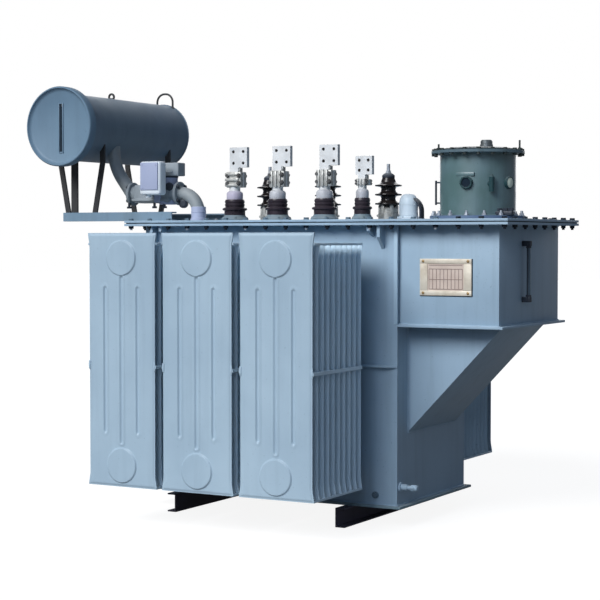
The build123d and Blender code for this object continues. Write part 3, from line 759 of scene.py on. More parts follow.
COVER_BOLT = 12
COVER_BOLT_INSET = 22
COVER_BOLT_PITCH = 98
END_BOLT_PITCH = 104
BRIGHT_END_EVERY = 6
# Heads and ends past this x take the near-black painted shade.
PAINTED_SHADE_PAST_X = 900
HEAD_ACROSS = 19
HEAD_HEIGHT = 7
NUT_HEIGHT = 9
WASHER = 2
BOLT_TIP = 7
STIFFENER_TAPER = 40
CORNER_GAP = 12
STRIP_DEPTH = 13
STRIP_REACH = 6


def edge_places(start, end, pitch):
    """Even places from start to end, both with one, about a pitch apart."""
    count = round(abs(end - start) / pitch)
    return [start + (end - start) * index / count for index in range(count + 1)]


def rim_bolts():
    """Bolts through the cover and the rim flange: painted heads above, nuts and ends below; the nuts,
    most ends and the heads along the right end are near black as painted shade.
    """
    heads, nuts, ends = bmesh.new(), bmesh.new(), bmesh.new()
    low, high = corners("cover_plate")
    under = corners("tank_rim_flange")[0].z
    x0, x1 = low.x + COVER_BOLT_INSET, high.x - COVER_BOLT_INSET
    y0, y1 = low.y + COVER_BOLT_INSET, high.y - COVER_BOLT_INSET
    spots = [(x, y) for x in edge_places(x0, x1, COVER_BOLT_PITCH) for y in (y0, y1)]
    spots += [(x, y) for y in edge_places(y0, y1, END_BOLT_PITCH)[1:-1] for x in (x0, x1)]
    for number, (x, y) in enumerate(spots):
        turn = number * 0.7
        # Past this x the heads take the near-black painted shade; further in they keep the bolt paint.
        above = nuts if x > PAINTED_SHADE_PAST_X else heads
        add_disc(above, (x, y, high.z), UP, COVER_BOLT, WASHER)
        add_hex(above, (x, y, high.z + WASHER), UP, HEAD_ACROSS, HEAD_HEIGHT, turn)
        add_disc(nuts, (x, y, under), DOWN, COVER_BOLT, WASHER)
        add_hex(nuts, (x, y, under - WASHER), DOWN, HEAD_ACROSS, NUT_HEIGHT, turn + 0.4)
        # Every sixth end in front stays bright zinc; the other ends are painted shade.
        bright = number % BRIGHT_END_EVERY == 0 and x < PAINTED_SHADE_PAST_X
        tip = (x, y, under - WASHER - NUT_HEIGHT)
        add_disc(ends if bright else nuts, tip, DOWN, COVER_BOLT / 2, BOLT_TIP, 10)
    piece("cover_bolts", heads, DARK_BOLT)
    piece("cover_nuts_in_painted_shade", nuts, NUT_PAINTED_SHADE)
    piece("cover_bolt_ends", ends, ZINC)


def tank_seams():
    """Weld beads along the tank, the box and the hopper, and the two corner strips."""
    bm = bmesh.new()
    low, high = corners("tank_body")
    rim = corners("tank_rim_flange")[0].z
    box_low, box_high = corners("tap_changer_box")
    ledge_top = corners("tap_box_ledge")[1].z
    hop_low, hop_high = corners("tap_box_hopper")
    for y in (low.y, high.y):
        add_weld(bm, (low.x + CORNER_GAP, y, low.z), (high.x, y, low.z), 5)
        add_weld(bm, (low.x + CORNER_GAP, y, rim), (high.x, y, rim))
    for x in (low.x, high.x):
        add_weld(bm, (x, low.y, low.z), (x, high.y, low.z), 5)
    for z in (box_low.z, rim):
        for y in (box_low.y, box_high.y):
            add_weld(bm, (box_low.x, y, z), (box_high.x, y, z))
        add_weld(bm, (box_high.x, box_low.y, z), (box_high.x, box_high.y, z))
    for y in (hop_low.y, hop_high.y):
        add_weld(bm, (hop_low.x, y, hop_low.z), (hop_low.x, y, hop_high.z))
        add_weld(bm, (hop_low.x, y, hop_high.z), (hop_high.x, y, hop_high.z))
    add_weld(bm, (hop_low.x, hop_low.y, hop_low.z), (hop_low.x, hop_high.y, hop_low.z), 5)
    piece("tank_seams", bm, TANK_PAINT)

    strips = bmesh.new()
    for side in (-1, 1):
        wall = low.y if side < 0 else high.y
        y0, y1 = sorted((wall, wall + side * STRIP_DEPTH))
        add_block(strips, (high.x - CORNER_GAP, y0, ledge_top), (high.x + STRIP_REACH, y1, rim), 3)
    piece("corner_strips", strips, PALE_STRIP)


def hopper():
    """The sloping chute under the box, from the node's own corners, with its edges rounded."""
    bm = bmesh.new()
    low, high = corners("tap_box_hopper")
    made = add_block(bm, low, high)
    for vert in made:
        if vert.co.x > low.x + 1 and vert.co.z < high.z - 1:
            vert.co = (low.x, vert.co.y, low.z)
    bmesh.ops.remove_doubles(bm, verts=bm.verts, dist=MERGE_DISTANCE)
    bevel_all(bm, bm.edges[:], 2)
    piece("dressed_hopper", bm, TANK_PAINT, ["tap_box_hopper"])


def stiffener_bars():
    """Flat bars along both walls with tapered ends."""
    bm = bmesh.new()
    low, high = corners("wall_stiffeners")
    wall_low, wall_high = corners("tank_body")
    for outer, wall in ((low.y, wall_low.y), (high.y, wall_high.y)):
        y0, y1 = sorted((outer, wall))
        made = add_block(bm, (low.x, y0, low.z), (high.x, y1, high.z))
        for vert in made:
            if abs(vert.co.y - outer) < 1 and vert.co.x > 0:
                vert.co.x -= STIFFENER_TAPER
        edges = {edge for vert in made for edge in vert.link_edges}
        bevel_all(bm, list(edges), 1.2)
        add_weld(bm, (low.x, wall, low.z), (high.x, wall, low.z))
    piece("stiffener_bars", bm, TANK_PAINT, ["wall_stiffeners"])


VALVE_BODY = ((0, 0), (20, 0), (20, 7), (13, 8), (13, 34), (0, 34))
VALVE_WHEEL = ((0, 0), (11, 0), (13, 3), (13, 12), (9, 16), (0, 16))


def wall_fittings():
    """Drain valve with its hexagon and cap, and the earthing studs."""
    bm = bmesh.new()
    low, high = corners("drain_valve")
    inner, outer = centre("drain_valve"), centre("drain_valve")
    inner.x, outer.x = low.x, high.x
    add_rod(bm, inner, outer - Vector((24, 0, 0)), 9, 20)
    add_turning(bm, VALVE_BODY, inner, RIGHT, 24)
    add_hex(bm, outer - Vector((34, 0, 0)), RIGHT, 24, 14)
    add_turning(bm, VALVE_WHEEL, outer - Vector((20, 0, 0)), RIGHT, 24)
    piece("drain_valve_body", bm, PALE_STRIP, ["drain_valve"])
    studs = bmesh.new()
    low, high = corners("earthing_terminals")
    wall_low, wall_high = corners("tank_body")
    z = centre("earthing_terminals").z
    ends = ((-1, high.x - 14, wall_low.y, low.y), (1, low.x + 14, wall_high.y, high.y))
    for side, x, wall, tip in ends:
        add_disc(studs, (x, wall, z), (0, side, 0), 14, 9, 28)
        add_hex(studs, (x, wall + side * 9, z), (0, side, 0), 19, 8, 0.3)
        add_rod(studs, (x, wall + side * 15, z), (x, tip, z), 5, 12)
    piece("earthing_studs", studs, DARK_BOLT, ["earthing_terminals"])


# Conservator

DISH_LIP = 5
DISH_DEPTH = 14
DISH_SLOPE = 17
GAUGE_OFFSET = 7
GAUGE_DROP = 7
GAUGE_HALF_LENGTH = 107
GAUGE_HALF_WIDTH = 8
BAR_RADIUS = 5
RING_RADIUS = 14
BAIL_FOOT = 24
BAIL_BEND = 41
BAIL_START = 25


def conservator_details():
    """Dished front end with its gauge glass, weld rings, the lifting ring and the bail."""
    shell_low, shell_high = corners("conservator_shell")
    end_low, end_high = corners("conservator_front_end")
    axis_x, axis_z = centre("conservator_shell").x, centre("conservator_shell").z
    radius = (shell_high.z - shell_low.z) / 2
    seams = bmesh.new()
    for y in (shell_low.y, shell_high.y):
        add_round_weld(seams, (axis_x, y, axis_z), REAR, radius, 4)
    away = math.radians(205)
    seam = (axis_x + radius * math.cos(away), axis_z - radius * math.sin(away))
    add_weld(seams, (seam[0], shell_low.y, seam[1]), (seam[0], shell_high.y, seam[1]), 3)
    piece("conservator_seams", seams, DRUM_PAINT)

    rim = (end_high.z - end_low.z) / 2
    deep = end_high.y - end_low.y
    inner = rim - DISH_LIP - 3
    profile = [(0, 0), (rim - 2, 0), (rim, 2), (rim, deep - 6), (rim - 2, deep - 2),
               (rim - 5, deep), (inner, deep), (inner - DISH_SLOPE * 0.15, deep - DISH_DEPTH * 0.3),
               (inner - DISH_SLOPE * 0.45, deep - DISH_DEPTH * 0.75),
               (inner - DISH_SLOPE, deep - DISH_DEPTH), (0, deep - DISH_DEPTH)]
    turned_piece("conservator_dished_end", profile, (axis_x, end_high.y, axis_z), DISC_PAINT,
                 ["conservator_front_end"], FRONT, 96)

    face = end_low.y + DISH_DEPTH
    glass_x, glass_z = axis_x + GAUGE_OFFSET, axis_z - GAUGE_DROP
    glass = bmesh.new()
    add_block(glass, (glass_x - GAUGE_HALF_WIDTH, face - 2, glass_z - GAUGE_HALF_LENGTH),
              (glass_x + GAUGE_HALF_WIDTH, face + 4, glass_z + GAUGE_HALF_LENGTH), 0.8)
    piece("conservator_gauge_glass", glass, DARK_GLASS)
    trim = bmesh.new()
    for side in (-1, 1):
        x = glass_x + side * (GAUGE_HALF_WIDTH + 2.5)
        add_block(trim, (x - 2.5, face - 4, glass_z - GAUGE_HALF_LENGTH - 5),
                  (x + 2.5, face + 2, glass_z + GAUGE_HALF_LENGTH + 5), 1.2)
    for end in (-1, 1):
        z = glass_z + end * (GAUGE_HALF_LENGTH + 2.5)
        add_block(trim, (glass_x - GAUGE_HALF_WIDTH, face - 4, z - 2.5),
                  (glass_x + GAUGE_HALF_WIDTH, face + 2, z + 2.5), 1.2)
    piece("conservator_gauge_trim", trim, DISC_PAINT)

    bars = bmesh.new()
    low, high = corners("conservator_lifting_eyes")
    top = shell_high.z
    ring_y = low.y + BAR_RADIUS
    ring_z = top + RING_RADIUS - BAR_RADIUS
    add_ring(bars, (axis_x, ring_y, ring_z), REAR, RING_RADIUS, BAR_RADIUS, 36, 12)
    add_round_weld(bars, (axis_x, ring_y, top + 1), UP, 8, 3)
    y = high.y - BAR_RADIUS
    x0, x1 = axis_x - BAIL_START, high.x - BAR_RADIUS
    bail_top = high.z - BAR_RADIUS
    route = [(x0, y, top - BAIL_FOOT), (x0, y, bail_top), (x1, y, bail_top), (x1, y, top - BAIL_FOOT)]
    add_tube(bars, bent_route(route, BAIL_BEND, 12), BAR_RADIUS, 14)
    for x in (x0, x1):
        away = x - axis_x
        foot_z = axis_z + math.sqrt(radius ** 2 - away ** 2)
        add_round_weld(bars, (x, y, foot_z), (away, 0, radius), 7, 3)
    piece("lifting_ring_and_bail", bars, LEG_PAINT, ["conservator_lifting_eyes"])


def beam_bolts():
    """Bolts that hold the two beams to the cover."""
    bm = bmesh.new()
    low, high = corners("conservator_beams")
    cover_low, cover_high = corners("cover_plate")
    for side in (-1, 1):
        edge = low.y if side < 0 else high.y
        for x in (cover_low.x + 60, high.x - 30):
            add_bolt(bm, (x, edge - side * 22, cover_high.z + 6), UP, 10, x * MM)
    piece("beam_bolts", bm, ZINC)


# Oil pipe, gas relay and terminal box

PIPE_RADIUS = 29
PIPE_SLOPE = 132
PIPE_BEND = 220
DROP_BEND = 90
PIPE_OVERLAP = 6
COLLAR = ((0, 0), (36, 0), (36, 12), (33, 14), (33, 62), (31, 64), (0, 64))
RELAY_FLANGE = 53
FLANGE_SECTION = ((0, 0), (51, 0), (53, 2), (53, 12), (51, 14), (0, 14))
BELL_FROM_MIDDLE = 65
BELL_TOP = 71
BELL_RING = ((0, 0), (45, 0), (46, 2), (46, 6), (44, 8), (0, 8))
FRONT_PLUG = ((0, 0), (19, 0), (19, 5), (14, 9), (0, 9))
END_PLUG = ((0, 0), (20, 0), (20, 16), (12, 22), (0, 22))
CAP_FROM_MIDDLE = 98
CAP_LOW = 78


def flange_bolts(bm, place, axis, circle, size, count=4, start=math.pi / 4, depth=0.0):
    """Bolt heads round a flange that faces along an axis."""
    spot = Matrix.Translation(Vector(place)) @ along(axis)
    for x, y, angle in around(count, circle, start):
        seat = spot @ Vector((x, y, depth))
        add_bolt(bm, seat, axis, size, angle)


def relay_ends():
    """The two ends of the gas relay, on the pipe's axis."""
    low = corners("gas_relay")[0]
    pipe_y, pipe_z = centre("oil_pipe_lower").y, low.z + RELAY_FLANGE
    return Vector((low.x, pipe_y, pipe_z)), Vector((corners("oil_pipe_lower")[0].x, pipe_y, pipe_z))


def oil_pipes():
    """The pipe that slopes down from the drum, and the one that turns down into its collar."""
    start, end = relay_ends()
    upper_low, upper_high = corners("oil_pipe_upper")
    drop_low, drop_high = corners("oil_pipe_lower")
    pipe_x = upper_low.x + PIPE_RADIUS
    below = PIPE_SLOPE * PIPE_OVERLAP / (start.x - pipe_x)
    pipes = bmesh.new()
    route = [(pipe_x, start.y, upper_high.z), (pipe_x, start.y, start.z + PIPE_SLOPE),
             start + Vector((PIPE_OVERLAP, 0, -below))]
    add_tube(pipes, bent_route(route, PIPE_BEND, 12), PIPE_RADIUS, 28)
    drop = Vector((drop_high.x - 36, end.y, drop_low.z))
    route = [end - Vector((PIPE_OVERLAP, 0, 0)), (drop.x, end.y, end.z), drop + Vector((0, 0, 14))]
    add_tube(pipes, bent_route(route, DROP_BEND, 14), PIPE_RADIUS, 28)
    add_round_weld(pipes, end + Vector((3, 0, 0)), RIGHT, PIPE_RADIUS, 3)
    piece("oil_pipes", pipes, PIPE_PAINT, ["oil_pipe_upper"])
    collar = bmesh.new()
    add_turning(collar, COLLAR, drop, steps=36)
    add_ring(collar, drop + Vector((0, 0, 40)), UP, 33, 2, 32, 8)
    piece("oil_pipe_collar", collar, LILAC_ENAMEL, ["oil_pipe_lower"])


def gas_relay():
    """A casting between two flanges, its dark fittings, and the pillar under a ring and a cap block."""
    start, end = relay_ends()
    low, high = corners("gas_relay")
    bell = (start + end) / 2 + Vector((BELL_FROM_MIDDLE, 0, 0))
    cap = (start + end) / 2 + Vector((CAP_FROM_MIDDLE, 0, CAP_LOW))
    casting = bmesh.new()
    for place, way in ((start, Vector(RIGHT)), (end, Vector(LEFT))):
        add_turning(casting, FLANGE_SECTION, place, way, 40)
        add_rod(casting, place + way * 14, place + way * 40, 36, 32, 40)
    add_block(casting, start + Vector((38, -44, -42)), end + Vector((-38, 44, 40)), 8, 3)
    add_block(casting, start + Vector((30, -50, -34)), end + Vector((-34, 50, -22)), 3)
    add_block(casting, cap + Vector((-40, -30, 0)), (cap.x + 40, cap.y + 30, high.z), 5, 3)
    add_block(casting, cap + Vector((-30, -33, 14)), cap + Vector((12, -28, 22)), 2)
    add_block(casting, (bell.x - 66, low.y, bell.z), bell + Vector((-26, 0, 30)), 2)
    piece("relay_casting", casting, RELAY_GREY, ["gas_relay"])

    dark = bmesh.new()
    add_turning(dark, BELL_RING, bell + Vector((0, 0, BELL_TOP)), steps=40)
    add_turning(dark, FRONT_PLUG, bell + Vector((28, -34, 30)), (0.5, -1, 0), 28)
    add_turning(dark, END_PLUG, end + Vector((18, 0, -46)), (0.2, -1, 0), 28)
    for x in (start.x + 8, bell.x - 52, bell.x + 2):
        foot = Vector((x, start.y - 34, start.z - 66))
        add_rod(dark, foot, foot + Vector((0, 0, 26)), 6, 12)
        add_hex(dark, foot, UP, 19, 9)
    flange_bolts(dark, start, LEFT, 43, 9)
    flange_bolts(dark, end, RIGHT, 43, 9)
    piece("relay_dark_fittings", dark, DARK_CASTING)

    pillar = bmesh.new()
    foot = Vector((bell.x, bell.y, low.z + 4))
    tall = bell.z + BELL_TOP - foot.z
    add_turning(pillar, ((0, 0), (38, 0), (44, 6), (44, tall), (0, tall)), foot, steps=40)
    add_block(pillar, (bell.x - 44, bell.y - 52, low.z + 12), bell + Vector((-10, -34, BELL_TOP + 2)),
              5, 3)
    piece("relay_pillar", pillar, LILAC_ENAMEL)


def terminal_box():
    """A pale box with a gland below it, and its lid with four screws."""
    low, high = corners("relay_terminal_box")
    shell = bmesh.new()
    add_block(shell, low, high, 13, 4)
    gland = Vector((low.x + 30, (low.y + high.y) / 2, low.z))
    add_rod(shell, gland - Vector((0, 0, 10)), gland + Vector((0, 0, 4)), 12, 6)
    # The shell's near-white paint is partly painted light on its shaded right side.
    piece("terminal_box_shell", shell, PALE_CASTING_PAINTED_LIGHT, ["relay_terminal_box"])
    lid = bmesh.new()
    add_block(lid, low + Vector((8, -5, 22)), (high.x - 10, low.y + 6, high.z - 6), 3, 3)
    for x in (low.x + 18, high.x - 20):
        for z in (low.z + 32, high.z - 16):
            add_disc(lid, (x, low.y - 5, z), FRONT, 4, 1.5, 14)
    piece("terminal_box_lid", lid, LILAC_ENAMEL)


# Bushings

def scaled(profile, scale):
    """A profile made narrower or wider at the same heights."""
    return [(radius * scale, height) for radius, height in profile]


LV_FOOT = ((0, 0), (58, 0), (60, 2), (60, 7), (56, 9), (50, 18), (47, 22), (46, 24), (0, 24))
LV_BODY = ((0, 22), (46, 23), (46, 43), (50, 45), (54, 46.5), (54, 53), (51, 55.5), (42, 58),
           (42, 64), (44, 66), (44, 71), (42, 73), (42, 78), (44, 80), (44, 85), (42, 88),
           (41, 92), (0, 93))
LV_CAP = ((0, 91), (35, 91), (36, 93), (36, 118), (34, 123), (29, 128), (24, 130), (0, 130))
HV_BASE = ((0, 0), (42, 0), (42, 34), (40, 36), (40, 54), (36, 58), (0, 59))
FOOT_BOLTS = 4
FOOT_BOLT_CIRCLE = 52
BASE_FINGERS = 6
STUD_SEAT = 22
THREAD_TURNS = 12
THREAD_PITCH = 2.1
HV_CAP = ((0, 0), (26, 0), (28, 2), (28, 11), (25, 15), (20, 19), (14, 22), (0, 22.5))


def lv_bushing(bushing, terminal, scale, upright):
    """Bolted foot, moulded body with its rings, and the cap under the clamp."""
    place = standing_on(bushing)
    foot = bmesh.new()
    add_turning(foot, scaled(LV_FOOT, scale), place)
    for x, y, angle in around(FOOT_BOLTS, FOOT_BOLT_CIRCLE * scale, 0.6):
        add_bolt(foot, place + Vector((x, y, 8)), UP, 7 * scale, angle)
    piece(f"{bushing}_foot", foot, FOOT_PAINT)
    turned_piece(f"{bushing}_body", scaled(LV_BODY, scale), place, INSULATOR, [bushing])
    turned_piece(f"{bushing}_cap", scaled(LV_CAP, scale), place, STEM_CAP if upright else CAP_PAINT,
                 steps=40)
    clamp_details(bushing, terminal, scale, upright)


CLAMP_OFFSET = 8
CLAMP_HALF_WIDTH = 36
CLAMP_HALF_DEPTH = 23.5
CLAMP_RISE = 146
CLAMP_BELOW_PAD = 20
LV_PAD = 88
NEUTRAL_PAD = 78
PAD_THICKNESS = 20
LV_PAD_OFFSET = 30
NEUTRAL_PAD_OFFSET = 16
LV_HOLE_SPACING = 50
NEUTRAL_HOLE_SPACING = 42
HOLE_RADIUS = 7
RIB_HALF = 6
RIB_PROUD = 7
RIB_SUNK = 4


def clamp_details(bushing, terminal, scale, upright):
    """Clamp jaws with their ribs and bolts round the stem, and near-black discs in the pad's holes as
    painted shade.
    """
    high = corners(terminal)[1]
    middle = centre(bushing)
    large = scale == 1
    pad, spacing = (LV_PAD, LV_HOLE_SPACING) if large else (NEUTRAL_PAD, NEUTRAL_HOLE_SPACING)
    offset = LV_PAD_OFFSET if large else NEUTRAL_PAD_OFFSET
    clamp_low = corners(bushing)[0].z + CLAMP_RISE
    clamp_high = high.z - pad - CLAMP_BELOW_PAD
    x_middle = middle.x + CLAMP_OFFSET * scale
    half = CLAMP_HALF_WIDTH * scale + 1
    depth = CLAMP_HALF_DEPTH * scale + 1
    tall = clamp_high - clamp_low
    jaws = bmesh.new()
    for y0, y1 in ((-depth, -4), (4, depth)):
        add_block(jaws, (x_middle - half, middle.y + y0, clamp_low - 1),
                  (x_middle + half, middle.y + y1, clamp_high + 1), 3, 3)
    front = middle.y - depth
    if upright:
        for share in (-0.62, -0.1, 0.42):
            x = x_middle + share * half
            add_block(jaws, (x - RIB_HALF * scale, front - RIB_PROUD, clamp_low - 4),
                      (x + RIB_HALF * scale, front + RIB_SUNK, clamp_high + 3), 2)
    else:
        for share in (0.14, 0.5, 0.86):
            z = clamp_low + share * tall
            add_block(jaws, (x_middle - half - 4, front - RIB_PROUD, z - RIB_HALF * scale),
                      (x_middle + half * 0.7, front + RIB_SUNK, z + RIB_HALF * scale), 2)
    neck = x_middle + 2
    add_block(jaws, (neck - 24 * scale, middle.y - 15 * scale, clamp_high - 2),
              (neck + 24 * scale, middle.y + 12 * scale, clamp_high + CLAMP_BELOW_PAD - 1), 2)
    piece(f"{terminal}_jaws", jaws, CLAMP_ALLOY)
    bolts = bmesh.new()
    for share in (0.26, 0.76):
        z = clamp_low + tall * share
        x = x_middle + (half - 10 * scale)
        add_bolt(bolts, (x, front, z), FRONT, 10 * scale, z * MM * 90)
        add_hex(bolts, (x, middle.y + depth, z), REAR, 16 * scale, 8, z * MM)
        x = x_middle - (half - 7 * scale)
        add_hex(bolts, (x, middle.y + depth, z), REAR, 16 * scale, 8, z * MM)
        add_hex(bolts, (x, front, z), FRONT, 14 * scale, 9, z * MM)
    piece(f"{terminal}_bolts", bolts, DARK_STEEL)
    hole_shade_discs = bmesh.new()
    pad_x = middle.x + offset
    pad_z = high.z - pad / 2
    for x in (pad_x - spacing / 2, pad_x + spacing / 2):
        for z in (pad_z - spacing / 2, pad_z + spacing / 2):
            spot = (x, middle.y - PAD_THICKNESS + 2.5, z)
            add_disc(hole_shade_discs, spot, REAR, HOLE_RADIUS - 0.2, PAD_THICKNESS - 5, 24)
    piece(f"{terminal}_hole_shade", hole_shade_discs, HOLE_PAINTED_SHADE)


def hv_profile():
    """Three sheds with rounded lips and drip edges on a waisted core."""
    profile = [(0, 54), (32, 56)]
    for z in (66, 106, 146):
        profile += [(33, z - 3), (36, z + 1), (56, z + 4), (59, z + 5.5), (60, z + 8), (59, z + 10.5),
                    (55, z + 12), (42, z + 17), (34, z + 23), (32, z + 30)]
    return profile + [(30, 180), (28, 186), (0, 186)]


def hv_bushing(number):
    """Porcelain, its base of six clamp fingers, the cap and the threaded stud."""
    bushing, terminal = f"hv_bushing_{number}", f"hv_terminal_{number}"
    place = standing_on(bushing)
    turned_piece(f"{bushing}_porcelain", hv_profile(), place, PORCELAIN, [bushing], steps=56)
    base = bmesh.new()
    add_turning(base, HV_BASE, place, steps=40)
    for finger in range(BASE_FINGERS):
        angle = 0.3 + math.tau * finger / BASE_FINGERS
        turn = Matrix.Translation(place) @ Matrix.Rotation(angle, 4, "Z")
        tooth = bmesh.new()
        add_block(tooth, (34, -9, 0), (44, 9, 66), 3)
        add_block(tooth, (32, -6, 60), (42, 6, 78), 3)
        merge_in(base, tooth, turn)
        tooth.free()
        add_bolt(base, turn @ Vector((44, 0, 22)), turn.to_3x3() @ Vector(RIGHT), 7, angle)
    piece(f"{bushing}_base", base, CLAMP_ALLOY)
    low, high = corners(terminal)
    turned_piece(f"{bushing}_cap", HV_CAP, (place.x, place.y, low.z), DARK_CASTING, steps=40)
    stud = bmesh.new()
    seat = Vector((place.x, place.y, low.z + STUD_SEAT))
    add_rod(stud, seat, (place.x, place.y, high.z), 7.4, 20)
    for index in range(THREAD_TURNS):
        add_ring(stud, seat + Vector((0, 0, 14 + index * THREAD_PITCH)), UP, 7.3, 0.7, 20, 6)
    add_disc(stud, seat, UP, 14, 2, 24)
    add_hex(stud, seat + Vector((0, 0, 2)), UP, 22, 9, 0.4)
    piece(f"{terminal}_stud", stud, ZINC, [terminal])


RELIEF_BODY = ((0, 0), (49, 0), (50, 2), (50, 9), (42, 12), (41, 16), (41, 72), (40, 80), (37, 92),
               (32, 102), (24, 110), (14, 113), (0, 113))
ARM_RADIUS = 62
ARM_RISE = 38


def relief_valve():
    """Pale domed body with two beads and a ring of bolts, and the dark ribbed arm over its right side."""
    low, high = corners("pressure_relief_valve")
    middle = Vector((low.x + 50, (low.y + high.y) / 2, low.z))
    body = bmesh.new()
    add_turning(body, RELIEF_BODY, middle)
    for height in (22, 66):
        add_ring(body, middle + Vector((0, 0, height)), UP, 41, 1.6, 48, 8)
    flange_bolts(body, middle, UP, 45, 6, 6, 0.3, 10)
    piece("relief_valve_body", body, PALE_ENAMEL, ["pressure_relief_valve"])
    arm = bmesh.new()
    route = [middle + Vector((ARM_RADIUS, 0, 0))]
    for angle in (math.radians(9 * step) for step in range(10)):
        reach, rise = ARM_RADIUS * math.cos(angle), ARM_RISE + ARM_RADIUS * math.sin(angle)
        route.append(middle + Vector((reach, 0, rise)))
    for offset in (-14, -7, 0, 7, 14):
        add_tube(arm, [point + Vector((0, offset, 0)) for point in route], 5, 10)
    add_block(arm, middle + Vector((50, -22, 0)), middle + Vector((69, 22, 8)), 2)
    piece("relief_valve_arm", arm, DARK_CASTING)


# Tap changer head

HEAD_RADIUS = 158
HEAD_FLANGE = 13
HEAD_FLANGE_RADIUS = 194
WINDOW_ANGLE = 6
SIDE_GLASS_ANGLE = 75
FITTING_ANGLE = 42
WINDOW_RISE = 150
ROD_RADIUS = 188
RODS = ((-36, 24), (88, 40))
SIDE_ROD_ANGLE = -74
SIDE_ROD_RADIUS = 176
LID_CAP_OFFSET = 38
LID_DOME = ((0, 18), (40, 17.5), (80, 15.5), (110, 13.5), (130, 12), (152, 9), (170, 6.2), (175, 5.2),
            (178, 3.5), (178, 0), (0, 0))
WINDOW_RING = ((19, 0), (27, 0), (27, 13), (25, 16), (20, 16), (19, 13), (19, 0))
SIDE_RING = ((21, 0), (26, 0), (26, 12), (24, 15), (22, 15), (21, 12), (21, 0))
HEAD_OUTLET = ((0, 0), (14, 0), (14, 10), (9, 12), (9, 26), (0, 26))
BASE_RING = ((0, 0), (198, 0), (200, 2), (200, 14), (198, 16), (0, 16))
BASE_STUDS = 16
BASE_STUD_CIRCLE = 186
FLANGE_FIXINGS = 20
FLANGE_FIXING_CIRCLE = 184


def on_head(angle_degrees, radius, z):
    """A point round the head, its angle measured from the front towards the right."""
    middle = centre("tap_changer_base")
    angle = math.radians(angle_degrees)
    return Vector((middle.x + radius * math.sin(angle), middle.y - radius * math.cos(angle), z))


def outward(angle_degrees):
    """The way a point of the head at that angle faces."""
    angle = math.radians(angle_degrees)
    return Vector((math.sin(angle), -math.cos(angle), 0))


